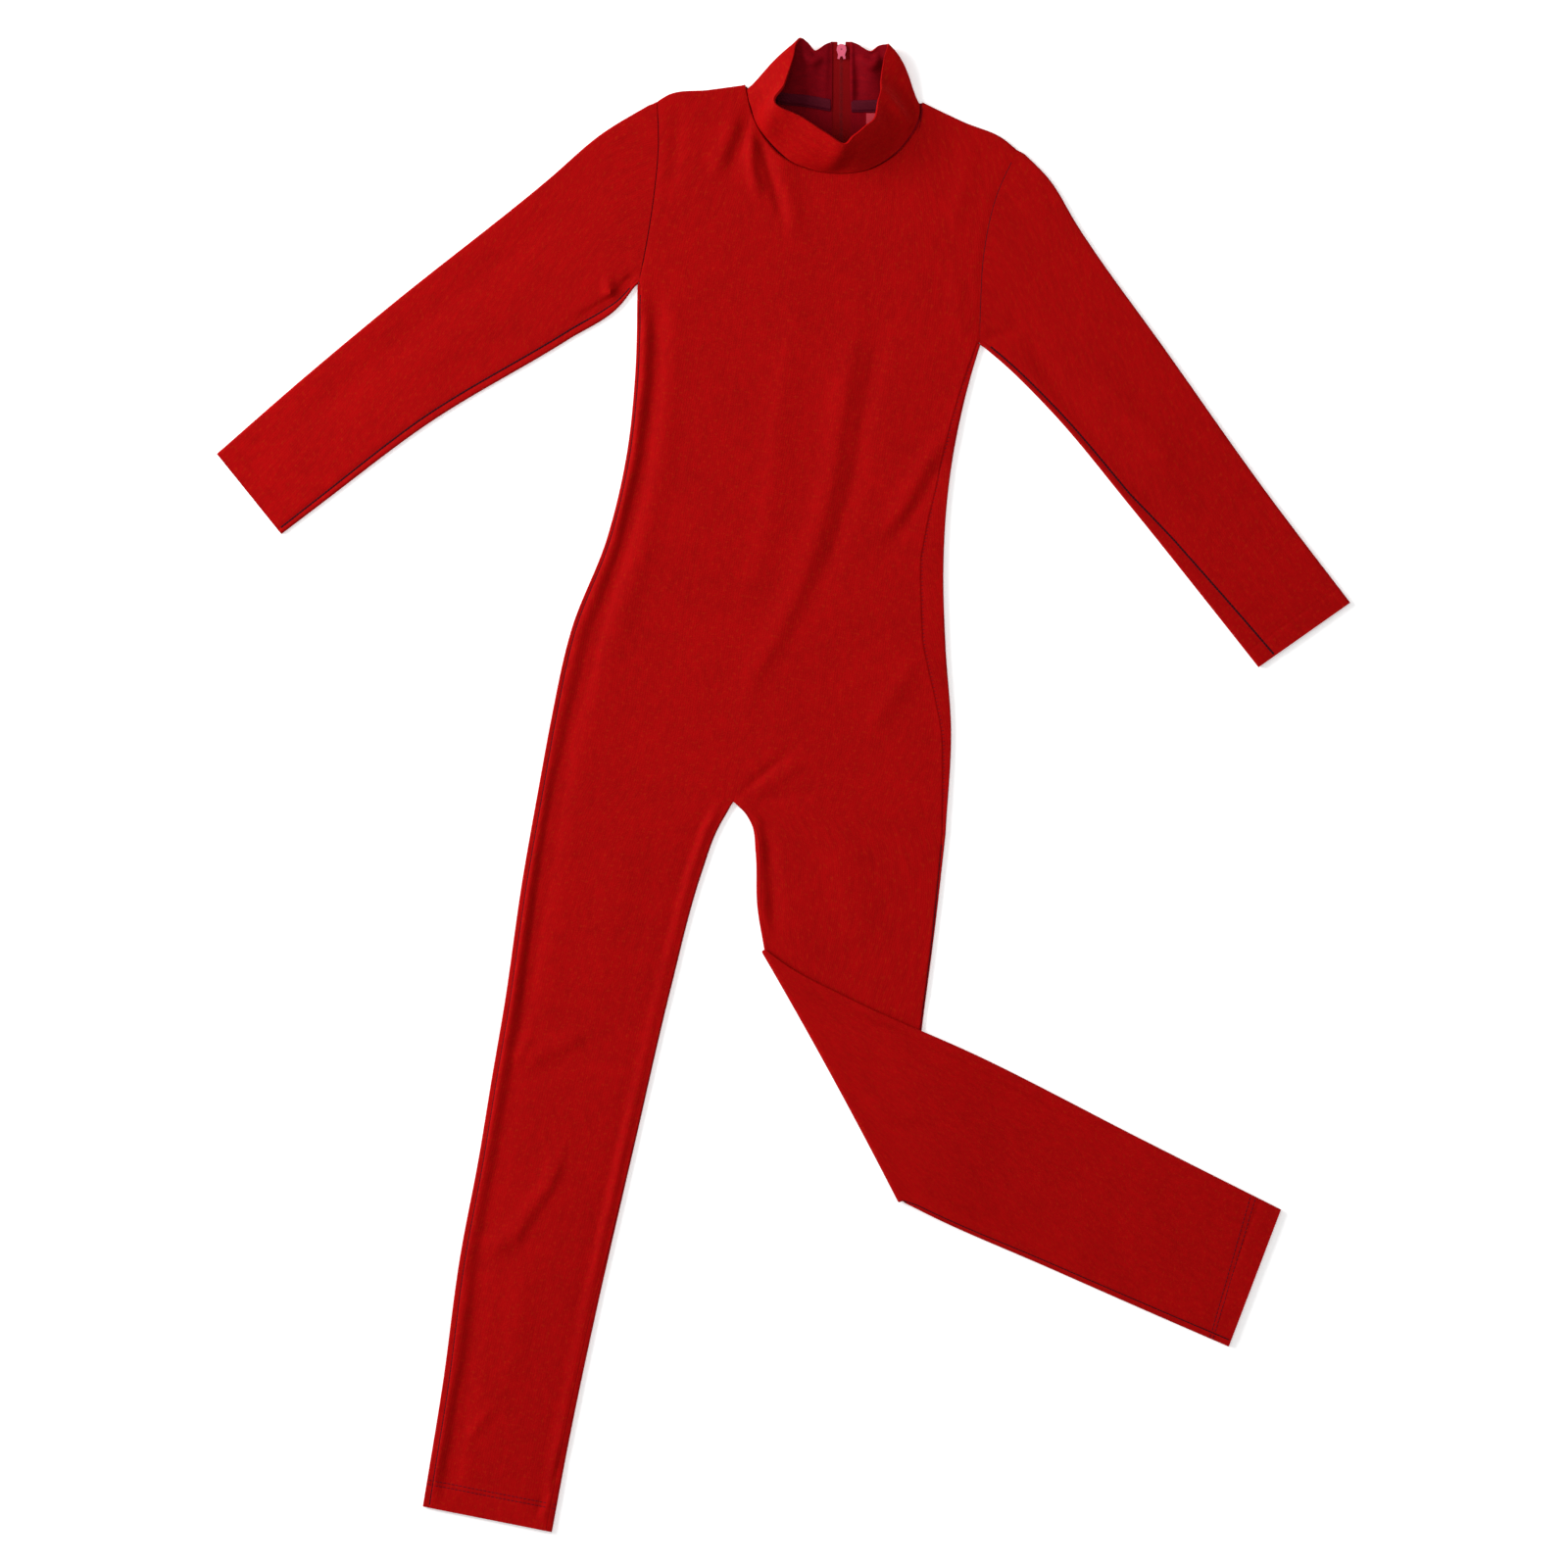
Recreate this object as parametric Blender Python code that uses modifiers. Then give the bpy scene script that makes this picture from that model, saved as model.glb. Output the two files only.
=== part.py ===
"""A red unitard with long sleeves, full legs, a stand-up collar and a zip down the centre back.

It lies flat, front upwards, on the plane z = 0, and its left leg is folded over at the knee, so
that the lower leg lies on the thigh with its back upwards. Sizes are in millimetres: x to the
right of the view, y towards the collar, z up. Right and left are the wearer's.
"""

import math

import bmesh
import bpy
import numpy as np

MM = 0.001
WALL = 1.1  # the knit, with the loft of its surface
SEAM_GAP = 0.3  # between pieces that are sewn together
TURN_GAP = 0.6  # added to it where the seam lies on the turn of an edge
ARMHOLE_GAP = 0.95  # between the middles of the two cloths, which meet at an angle there
SLEEVE_WAY = (0.75, -0.66)  # the way that the sleeves leave the armholes, outwards and down
BACK_MID = 0.55  # height of the middle of the lower layer
FRONT_MID = 2.15  # lowest height of the middle of the upper layer
LOFT = 0.9  # how much higher the upper layer lies where nothing presses it
FLAT_STEP = 5.0  # between the first columns at an edge that doesn't turn under
CENTRING = (0.4, 0.65)  # moves the whole to the middle of its own bounds
FRONT, BACK = 1, -1
RIGHT, LEFT = -1, 1

# The outline, from the armholes down. Columns: x, y.
RIGHT_SIDE = (
    (-107.6, 367.0),
    (-109.4, 300.2),
    (-115.5, 243.0),
    (-130.3, 180.0),
    (-155.9, 114.5),
    (-171.7, 44.6),
    (-178.6, 7.2),
)
LEFT_SIDE = (
    (144.2, 322.4),
    (137.5, 300.2),
    (121.0, 218.2),
    (117.2, 160.0),
    (118.8, 100.1),
    (122.8, 40.3),
    (118.8, -36.0),
)
RIGHT_OUTSEAM = (
    (-178.6, 7.2),
    (-192.5, -72.0),
    (-205.6, -162.7),
    (-224.6, -276.1),
    (-237.8, -345.6),
    (-250.9, -441.4),
    (-265.4, -530.6),
)
RIGHT_INSEAM = (
    (-37.1, -13.0),
    (-49.0, -33.8),
    (-60.5, -65.5),
    (-83.5, -151.9),
    (-108.4, -259.2),
    (-137.5, -385.9),
    (-158.4, -485.3),
    (-170.4, -549.4),
)
LEFT_OUTSEAM = (
    (118.8, -36.0),
    (110.7, -107.3),
    (101.2, -179.3),
    (86.6, -306.3),
)
LEFT_INSEAM = (
    (-37.1, -13.0),
    (-28.8, -20.9),
    (-23.8, -29.5),
    (-20.9, -50.0),
    (-19.5, -90.0),
    (-14.2, -121.5),
)
FOLDED_OUTSEAM = (
    (86.6, -306.3),
    (107.3, -316.8),
    (193.7, -355.0),
    (285.1, -395.3),
    (326.6, -413.3),
)
FOLDED_INSEAM = (
    (-14.2, -121.5),
    (2.9, -133.9),
    (45.4, -156.2),
    (144.0, -200.5),
    (259.2, -259.2),
    (365.0, -312.5),
)
CENTRE_LINE = (
    (42.2, 547.0),
    (42.0, 495.5),
    (41.6, 447.1),
    (27.0, 345.0),
    (0.0, 190.0),
    (-13.0, 118.0),
    (-26.0, 30.0),
    (-37.1, -13.0),
)

# The seams on each side of the garment, from the outline inwards over the front. Negative ones
# lie on the back. Columns: share of the length, outer seam, inner seam.
SIDE_SEAM = {
    RIGHT: ((0.0, 2.5), (0.5, 3.0), (1.0, 4.0)),
    LEFT: ((0.0, 2.5), (0.3, 9.0), (0.45, 17.0), (0.62, 17.0), (0.8, 7.0), (1.0, 2.5)),
}
LEG_SEAMS = {
    RIGHT: ((0.0, 4.0, 0.4), (0.02, 4.0, 0.4), (0.06, 4.0, 3.0), (1.0, 4.5, 4.0)),
    LEFT: ((0.0, 3.5, 0.4), (0.09, 3.3, 0.4), (0.25, 3.2, 3.2), (1.0, 3.0, 4.0)),
}
FOLDED_SEAMS = ((0.0, 3.0, 4.0), (0.07, 3.0, 3.6), (0.25, -3.6, 3.2), (1.0, -3.8, 3.2))

SHOULDERS = {
    RIGHT: ((-94.0, 500.6), (-85.0, 506.2), (-55.8, 509.8), (-28.8, 513.4)),
    LEFT: ((172.0, 465.0), (160.2, 474.5), (132.5, 486.0), (102.2, 500.4)),
}
FRONT_NECK = {
    RIGHT: (
        (-28.8, 513.4),
        (-25.6, 496.8),
        (-14.4, 473.4),
        (0.7, 457.9),
        (18.7, 450.0),
        (41.6, 447.1),
    ),
    LEFT: (
        (102.2, 500.4),
        (100.1, 486.7),
        (93.6, 474.5),
        (83.5, 462.2),
        (67.0, 451.4),
        (41.6, 447.1),
    ),
}
BACK_NECK = {
    RIGHT: ((-28.8, 513.4), (-20.0, 504.5), (-2.2, 499.7), (42.0, 495.5)),
    LEFT: ((102.2, 500.4), (88.0, 497.2), (67.0, 495.4), (42.0, 495.5)),
}
ARMHOLES = {
    RIGHT: ((-94.0, 500.6), (-93.0, 470.0), (-96.5, 430.6), (-103.0, 390.0), (-107.6, 367.0)),
    LEFT: ((172.0, 465.0), (157.0, 432.0), (147.6, 390.0), (145.0, 350.0), (144.2, 322.4)),
}
INSIDE = 5  # columns of the body between those of its two edges

# Where the sections lie, as shares of the length of each part of the outline. They stand closer
# where a seam, the crotch, a fold or the armpit turns the cloth.
ARMHOLE_ROWS = (0.0, 0.05, 0.18, 0.34, 0.5, 0.66, 0.82, 0.93, 0.96, 0.98, 1.0)
FLANK_ROWS = (
    (0.02, 0.06, 0.13, 0.2, 0.28, 0.36, 0.45, 0.455, 0.53)
    + (0.61, 0.69, 0.77, 0.85, 0.92, 0.965, 0.988, 0.996, 1.0)
)
RIGHT_LEG_ROWS = (0.005, 0.014, 0.03, 0.06) + tuple(np.linspace(0.1, 1.0, 19))
THIGH_ROWS = (0.018, 0.045, 0.09, 0.16, 0.25, 0.35, 0.45, 0.56, 0.67, 0.78, 0.89, 0.96, 1.0)
FOLDED_ROWS = (0.03, 0.07, 0.12, 0.18, 0.25, 0.33, 0.41, 0.5, 0.58, 0.67, 0.75, 0.84, 0.92, 1.0)
SLEEVE_ROWS = (
    (0.0, 0.02, 0.05, 0.09, 0.14, 0.2, 0.27, 0.34, 0.41)
    + (0.48, 0.55, 0.62, 0.69, 0.76, 0.83, 0.9, 0.96, 1.0)
)
SHOULDER_COLUMNS = (0.0, 0.09, 0.25, 0.6, 1.0)
SHOULDER_HALF = (FRONT_MID + LOFT - BACK_MID) / 2  # radius of the turn along the shoulder
NECK_STEP = 1.6  # between the first rows along the neck
NECK_POINT_TURN = 0.6  # share of that turn at the point where the shoulder meets the neck
FRONT_NECK_Y, BACK_NECK_Y = 447.1, 495.5  # of the centre line at the neck's edge
CHEST_Y, CROTCH_Y = 345.0, -13.0  # of the centre line beside the armpits, and at its end
ARMPIT_SEAM = 2.5

# The sleeves. Columns: x, y of the outline from the shoulder and from the armpit to the cuff.
SLEEVE_TOPS = {
    RIGHT: (
        (-95.0, 501.1),
        (-133.6, 477.7),
        (-172.8, 444.2),
        (-294.5, 347.0),
        (-356.4, 295.2),
        (-416.7, 242.5),
    ),
    LEFT: (
        (173.0, 466.3),
        (194.4, 444.6),
        (215.3, 410.4),
        (281.5, 316.8),
        (355.7, 212.4),
        (415.9, 133.2),
    ),
}
SLEEVE_BOTTOMS = {
    RIGHT: (
        (-108.7, 367.0),
        (-122.0, 349.9),
        (-158.8, 326.2),
        (-262.1, 264.2),
        (-339.8, 205.9),
        (-369.2, 183.5),
    ),
    LEFT: (
        (145.4, 322.2),
        (164.2, 306.0),
        (195.1, 275.0),
        (254.9, 203.3),
        (313.2, 130.3),
        (348.5, 85.7),
    ),
}
# Columns: share of the sleeve's length, how far in from the outline its seam lies on top.
SLEEVE_SEAMS = {
    RIGHT: ((0.0, 3.0), (0.1, 6.5), (0.6, 6.0), (1.0, 4.0)),
    LEFT: ((0.0, 4.0), (0.5, 6.0), (0.65, 10.0), (1.0, 15.0)),
}

# The largest soft folds of the upper layer. Columns: name, its line, rise (troughs below 0), width.
CREASES = (
    ("right flank", ((-98.6, 290.2), (-107.3, 226.8), (-120.2, 173.5), (-154.1, 43.2)), -0.9, 8.0),
    ("centre", ((55.4, 342.7), (36.4, 226.8), (10.8, 141.8), (-23.0, 78.5)), 1.5, 11.0),
    ("left waist", ((123.1, 258.5), (87.1, 200.9), (69.8, 184.3)), 1.2, 10.0),
    ("pull from the collar", ((-20.0, 476.0), (-2.2, 418.3)), -0.9, 8.0),
    ("crotch", ((-31.0, -2.0), (-9.7, 12.0), (7.2, 27.0)), 1.0, 8.0),
    ("right knee", ((-190.1, -206.6), (-160.6, -192.2), (-146.2, -186.5)), 1.5, 10.0),
    ("right calf", ((-162.0, -270.7), (-186.5, -316.1), (-224.6, -347.0)), 1.7, 11.0),
    ("right sleeve", ((-150.0, 440.0), (-300.0, 318.0), (-390.0, 240.0)), -0.8, 12.0),
    ("left sleeve", ((169.2, 337.7), (209.5, 276.5), (294.5, 175.7)), -0.8, 12.0),
    ("neck", ((-16.0, 475.0), (0.7, 457.9), (33.8, 446.0), (67.0, 451.4), (90.0, 470.0)), 1.4, 14.0),
)
FOLDED_CREASE = ((45.4, -172.0), (108.7, -201.0), (206.6, -249.0), (285.1, -291.0))

# The fold at the knee.
FOLD_AXIS_Z = 2.95  # height of the line that the leg turns about
FOLD_LIFT = 3.2  # how far the lower leg lies above its own height, where the thigh is under it
FOLD_OUTWARDS = (-0.878, -0.478)
FOLD_SAG = 1.5  # how far the middle of the fold draws in
FOLD_TURNS = (45, 90, 135, 180)
LIFT_START, LIFT_FALL = 10.0, 70.0  # where it comes down beside the thigh, and over what length
THIGH_EDGE = (101.2, -179.3, 0.13)  # a point of the thigh's outer edge, and its lean

# The collar, from its end at the right tape of the zip, round the front, to the other end.
# Columns: foot x, y, z; top edge x, y, z; how far the wall bows outwards between them.
COLLAR_WALL = 1.6
COLLAR = (
    (35.2, 497.0, 0.9, 35.4, 545.2, 4.4, 0.0),
    (27.0, 498.6, 0.9, 30.5, 543.6, 5.0, 0.0),
    (15.0, 500.6, 0.9, 23.0, 538.6, 7.0, 0.0),
    (0.0, 502.2, 0.9, 17.3, 545.0, 7.5, 0.0),
    (-15.0, 505.2, 0.9, 12.2, 548.0, 9.0, 0.5),
    (-24.5, 509.0, 1.9, 8.6, 542.5, 11.5, 2.0),
    (-25.8, 506.0, 3.4, 6.4, 532.5, 14.0, 2.0),
    (-24.0, 497.4, 4.2, 0.2, 515.0, 19.0, 1.5),
    (-17.4, 481.6, 4.6, -6.0, 501.4, 24.0, 1.5),
    (2.2, 460.2, 5.2, 14.4, 488.9, 28.0, 1.5),
    (19.6, 452.4, 5.4, 32.4, 477.4, 30.0, 2.0),
    (34.2, 449.6, 5.4, 44.4, 470.6, 31.0, 2.0),
    (50.4, 449.7, 5.4, 52.4, 477.0, 30.5, 2.0),
    (65.8, 453.8, 5.2, 59.6, 483.4, 29.0, 2.0),
    (81.6, 464.2, 4.8, 67.0, 490.0, 26.0, 1.5),
    (91.6, 476.0, 4.4, 69.2, 504.0, 22.0, 1.5),
    (98.0, 487.6, 4.0, 71.4, 518.0, 17.0, 1.5),
    (99.4, 495.0, 3.0, 73.6, 533.6, 12.5, 2.0),
    (97.6, 500.4, 1.9, 76.2, 542.6, 10.0, 1.5),
    (88.0, 499.2, 0.9, 74.8, 543.4, 7.5, 0.5),
    (76.0, 497.4, 0.9, 69.6, 542.4, 6.6, 0.0),
    (64.0, 496.8, 0.9, 63.2, 538.2, 6.6, 0.0),
    (55.0, 496.6, 0.9, 54.0, 543.6, 5.0, 0.0),
    (48.8, 496.6, 0.9, 48.9, 545.4, 4.4, 0.0),
)
COLLAR_MIDDLE = (38.0, 500.0)
COLLAR_STATIONS = 44
COLLAR_ROWS = (0.0, 0.3, 0.65, 1.0)

# The zip, in the centre-back seam and through the collar.
ZIP_TOP_Y, ZIP_END_Y = 545.0, 186.0
ZIP_SPARE = 2.5  # how far the opening in the back goes on below the zip
TAPE_INNER, TAPE_OUTER = 1.15, 6.0
TAPE_THICK = 1.0
COIL_RADIUS = 0.72
COIL_TOP_Y = 538.6
ZIP_TOP_Z = 4.4  # height of the tapes inside the collar
ZIP_RISE_Y = (500.0, 522.0)  # where they rise to it

# The slider, seen from inside the neck, and its pull tab on the outside, under the collar.
SLIDER_X, SLIDER_Y = 42.2, 537.6
SLIDER_PLATE = (
    (-1.5, -5.5),
    (-0.7, -3.4),
    (0.7, -3.4),
    (1.5, -5.5),
    (3.0, -5.3),
    (2.5, -2.2),
    (3.6, 1.0),
    (3.3, 3.6),
    (1.2, 5.5),
    (-1.2, 5.5),
    (-3.3, 3.6),
    (-3.6, 1.0),
    (-2.5, -2.2),
    (-3.0, -5.3),
)
SLIDER_HOLE = (0.0, 2.4, 0.75, 1.3)  # x, y and the two radii of its oval
PLATE_Z = (5.45, 6.35)
UNDER_PLATE_Z = (2.55, 3.35)
ARCH_Z = (0.2, 0.85)
ARCH_HALF = 3.6  # half the arch's length
PIVOT_Y, PIVOT_Z = 536.6, 1.7
TAB_LENGTH, TAB_WIDTH, TAB_THICK = 15.0, 5.2, 0.8
TAB_SLOT = (0.5, 4.7, 1.35)  # start, end and half width of the opening that the arch passes through
TAB_DROP_DEG = 4.6

LABEL = (60.4, 478.0, 84.0, 492.6)  # x, y of two corners
LABEL_Z, LABEL_THICK = 1.95, 0.8

# Columns: name, linear red, green and blue, roughness, metallic.
MATERIALS = {
    "red_knit": (0.392, 0.0016, 0.0021, 0.8, 0.0),
    "red_tape": (0.190, 0.0012, 0.0020, 0.85, 0.0),
    "red_coil": (0.120, 0.0010, 0.0016, 0.5, 0.0),
    "pink_enamel": (0.720, 0.150, 0.210, 0.35, 0.6),
    "label_satin": (0.560, 0.050, 0.065, 0.5, 0.0),
}


def clear_scene():
    for item in list(bpy.data.objects):
        bpy.data.objects.remove(item, do_unlink=True)


def make_materials():
    for name, (red, green, blue, roughness, metallic) in MATERIALS.items():
        material = bpy.data.materials.new(name)
        material.use_nodes = True
        shader = material.node_tree.nodes["Principled BSDF"]
        shader.inputs["Base Color"].default_value = (red, green, blue, 1.0)
        shader.inputs["Roughness"].default_value = roughness
        shader.inputs["Metallic"].default_value = metallic


def smooth(share):
    share = min(max(share, 0.0), 1.0)
    return share * share * (3.0 - 2.0 * share)


def curve(points, keys, places):
    """A smooth curve that passes the given points at their keys, read at the given places."""
    points = np.array(points, float)
    slopes = np.gradient(points, keys, axis=0)
    found = []
    for at in places:
        i = min(int(np.searchsorted(keys, at, side="right")) - 1, len(keys) - 2)
        span = keys[i + 1] - keys[i]
        t = (at - keys[i]) / span
        found.append(
            (2 * t**3 - 3 * t**2 + 1) * points[i]
            + (t**3 - 2 * t**2 + t) * span * slopes[i]
            + (3 * t**2 - 2 * t**3) * points[i + 1]
            + (t**3 - t**2) * span * slopes[i + 1]
        )
    return np.array(found)


def through(points, shares):
    """Points of a smooth curve through the given ones, at shares of its length from 0 to 1."""
    steps = np.linalg.norm(np.diff(np.array(points, float), axis=0), axis=1)
    lengths = np.concatenate([[0.0], np.cumsum(steps)])
    return curve(points, lengths, np.clip(shares, 0.0, 1.0) * lengths[-1])


def from_table(table, share, column=1):
    return float(np.interp(share, [row[0] for row in table], [row[column] for row in table]))


def distance_to(line, x, y):
    nearest = 1e9
    for (ax, ay), (bx, by) in zip(line, line[1:]):
        dx, dy = bx - ax, by - ay
        t = min(max(((x - ax) * dx + (y - ay) * dy) / (dx * dx + dy * dy), 0.0), 1.0)
        nearest = min(nearest, math.hypot(x - ax - t * dx, y - ay - t * dy))
    return nearest


def above_folded_leg(x, y):
    """Distance from the upper edge of the folded lower leg, towards the hip."""
    return (x + 16.6) * 0.429 + (y + 123.1) * 0.903


def top_height(x, y):
    """Height of the middle of the upper layer."""
    rise = LOFT
    for _, line, height, width in CREASES:
        rise += height * math.exp(-((distance_to(line, x, y) / width) ** 2))
    pressed = 1.0
    if x > -60 and y < 20:
        pressed = smooth((above_folded_leg(x, y) - 6.0) / 25.0)
    return FRONT_MID + max(rise, 0.0) * pressed


CENTRE = through(CENTRE_LINE, np.linspace(0, 1, 90))


def centre_point(y):
    """The point of the centre line at this y, which the front's and the back's middle share."""
    return np.array([np.interp(-y, -CENTRE[:, 1], CENTRE[:, 0]), y])


def edge(layer, seam, half, roll_in=1.0, roll_down=1.0, step=FLAT_STEP, more=0.0):
    """Columns at one edge of a flattened tube, from the seam inwards: (distance in, side).

    The edge turns from the front (side 1) to the back (side -1) with the radius half. seam is its
    seam's place round the turn, from the outermost point, positive towards the front.
    """
    quarter = half * math.pi / 2
    on_turn = min(max(1.0 - (abs(seam) - quarter * 0.3) / quarter, 0.0), 1.0)
    start = layer * seam + SEAM_GAP / 2 + max(on_turn * TURN_GAP, more) / 2
    stop = max(quarter, start + 1.2)
    even = [start + (stop - start) * k / 3 for k in range(4)]
    wrapped = [start, -quarter, 0.0, quarter]
    share = smooth((-quarter - start) / 1.0)
    columns = []
    for k in range(4):
        arc = even[k] + (wrapped[k] - even[k]) * share
        turn = min(max(arc / half, -math.pi / 2), math.pi / 2)
        inwards = WALL / 2 + half * (1 - math.cos(turn)) + max(abs(arc) - quarter, 0.0)
        side = layer * math.sin(turn)
        flat = step * k
        columns.append((flat + (inwards - flat) * roll_in, layer + (side - layer) * roll_down))
    return columns


class Row:
    """One section of a tube: its outer and inner outline points, and how its edges turn."""

    def __init__(self, outer, inner, seams, place="upper", share=0.0, turn=0.0):
        self.outer = np.array(outer, float)[:2]
        self.inner = np.array(inner, float)[:2]
        self.seams = seams
        self.place = place
        self.share = share
        self.turn = math.radians(turn)
        self.sag = 0.0
        self.outer_roll = (1.0, 1.0)
        self.inner_roll = (1.0, 1.0)
        self.step = FLAT_STEP
        self.more = 0.0
        self.inset = {FRONT: 0.0, BACK: 0.0}

    def half(self, point):
        """Radius of the turn at the edge that this point of the outline lies on."""
        if self.place == "upper":
            return (top_height(*point) - BACK_MID) / 2
        return folded_thickness(self.share) / 2

    def columns(self, layer):
        """(x, y, side) of each column of this layer, from the outer edge to the inner one."""
        across = self.inner - self.outer
        width = float(np.linalg.norm(across))
        spacing = (self.step, self.more)
        outer = edge(layer, self.seams[0], self.half(self.outer), *self.outer_roll, *spacing)
        inner = edge(layer, self.seams[1], self.half(self.inner), *self.inner_roll, *spacing)
        inner = [(width - inwards - self.inset[layer], side) for inwards, side in reversed(inner)]
        between = np.linspace(outer[-1][0], inner[0][0], INSIDE + 2)[1:-1]
        middle = [(inwards, layer) for inwards in between]
        found = []
        for inwards, side in outer + middle + inner:
            share = inwards / width
            bow = -4 * share * (1 - share) * self.sag
            x, y = self.outer + across * share + bow * np.array(FOLD_OUTWARDS)
            found.append((x, y, side))
        return found

    def place_point(self, x, y, side):
        if self.place == "upper":
            return (x, y, height_between(side, x, y))
        if self.place == "fold":
            radius = FOLD_AXIS_Z - BACK_MID - (side + 1) / 2 * (FRONT_MID - BACK_MID)
            out = radius * math.sin(self.turn)
            z = FOLD_AXIS_Z - radius * math.cos(self.turn)
            return (x + FOLD_OUTWARDS[0] * out, y + FOLD_OUTWARDS[1] * out, z)
        thigh_edge = THIGH_EDGE[0] + THIGH_EDGE[2] * (y - THIGH_EDGE[1])
        lift = FOLD_LIFT * (1 - smooth((x - thigh_edge - LIFT_START) / LIFT_FALL))
        crease = 1.2 * math.exp(-((distance_to(FOLDED_CREASE, x, y) / 9.0) ** 2))
        thick = folded_thickness(self.share) + crease * smooth(self.share / 0.2)
        return (x, y, lift + BACK_MID + (1 - side) / 2 * thick)


def folded_thickness(share):
    """Between the middles of the two layers, from the fold to the hem."""
    return FRONT_MID - BACK_MID + LOFT * smooth(share / 0.3)


def layer_grid(rows, layer):
    return np.array([[row.place_point(*column) for column in row.columns(layer)] for row in rows])


def torso_rows(side, layer):
    """Rows from the shoulder tip to the crotch, each from the side of the body to its middle."""
    rows = []
    neck_y = FRONT_NECK_Y if layer == FRONT else BACK_NECK_Y
    for share in ARMHOLE_ROWS:
        outer = through(ARMHOLES[side], [share])[0]
        inner = centre_point(neck_y + (CHEST_Y - neck_y) * share)
        row = Row(outer, inner, (ARMPIT_SEAM, 0.0), share=share)
        falls = smooth((share - 0.98) / 0.02)
        row.outer_roll = (falls, falls)
        row.inner_roll = (0.0, 0.0)
        row.step = FLAT_STEP if share < 0.9 else FLAT_STEP * 0.35
        row.more = 1.1 if share > 0.97 else 0.0
        rows.append(row)
    outline = RIGHT_SIDE if side == RIGHT else LEFT_SIDE
    for share in FLANK_ROWS:
        outer = through(outline, [share])[0]
        inner = centre_point(CHEST_Y + (CROTCH_Y - CHEST_Y) * share)
        row = Row(outer, inner, (from_table(SIDE_SEAM[side], share), 0.6), share=1.0 + share)
        row.inner_roll = (0.0, smooth((share - 0.985) / 0.015) * 0.75)
        row.step = FLAT_STEP * (1.0 - 0.75 * smooth((share - 0.9) / 0.09))
        rows.append(row)
    for row in rows:
        zipped = row.inner[1] > ZIP_END_Y - ZIP_SPARE
        row.inset[BACK] = TAPE_OUTER + SEAM_GAP if zipped else SEAM_GAP / 2
        if row.inner_roll[1] > 0.1:
            row.inset[BACK] = 0.7
    return rows


def height_between(side, x, y):
    """Height of a point of the tube, from the lower layer (side -1) to the upper one (side 1)."""
    return BACK_MID + (side + 1) / 2 * (top_height(x, y) - BACK_MID)


def top_edge(side, layer, inset, count):
    """The plan of the shoulder and half of the neck, with one point for each column."""
    neck = FRONT_NECK[side] if layer == FRONT else BACK_NECK[side]
    beyond = count - len(SHOULDER_COLUMNS)
    length = float(np.sum(np.linalg.norm(np.diff(np.array(neck), axis=0), axis=1)))
    end = 1.0 - inset / length
    neck_shares = [end * (k + 1) / beyond for k in range(beyond)]
    top = np.concatenate([through(SHOULDERS[side], SHOULDER_COLUMNS), through(neck, neck_shares)])
    if layer == BACK:
        top[-1] = centre_point(top[-1][1]) + np.array([side * inset, 0.0])
    return top


def raise_top(grid, rows, side, layer):
    """Bends the rows of the armhole up to the shoulder and the neck, and turns the shoulder edge."""
    count = grid.shape[1]
    top = top_edge(side, layer, rows[0].inset[layer], count)
    moved = top - grid[0, :, :2]
    bent = []
    for row, level in zip(rows, grid):
        points = level.copy()
        points[:, :2] += moved * (1.0 - row.share) ** 1.5
        if layer == BACK:
            inset = np.array([side * row.inset[BACK], 0.0])
            points[-1, :2] = centre_point(points[-1, 1]) + inset
        for point, old in zip(points, level):
            share = (old[2] - BACK_MID) / (top_height(*old[:2]) - BACK_MID)
            point[2] = height_between(2 * share - 1, *point[:2])
        bent.append(points)
    firsts = []
    last = len(SHOULDER_COLUMNS) - 1
    for k, (inwards, turned) in enumerate(edge(layer, 0.0, SHOULDER_HALF)):
        points = bent[0].copy()
        for c in range(count):
            along = bent[2][c, :2] - top[c]
            along = along / np.linalg.norm(along)
            points[c, :2] = top[c] + along * (inwards if c < last else NECK_STEP * k)
            shoulder = 1.0 if c < last else NECK_POINT_TURN if c == last else 0.0
            points[c, 2] = height_between(layer + (turned - layer) * shoulder, *points[c, :2])
        firsts.append(points)
    return np.array(firsts + bent[1:])


def leg_rows_right():
    rows = []
    for share in RIGHT_LEG_ROWS:
        outer = through(RIGHT_OUTSEAM, [share])[0]
        inner = through(RIGHT_INSEAM, [share])[0]
        seams = (from_table(LEG_SEAMS[RIGHT], share), from_table(LEG_SEAMS[RIGHT], share, 2))
        row = Row(outer, inner, seams, share=share)
        turned = smooth(share / 0.014)
        row.inner_roll = (turned, 0.75 + 0.25 * turned)
        row.inset = {FRONT: 0.3 * (1 - turned), BACK: 0.7 * (1 - turned)}
        row.step = FLAT_STEP * 0.25
        rows.append(row)
    return rows


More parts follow.
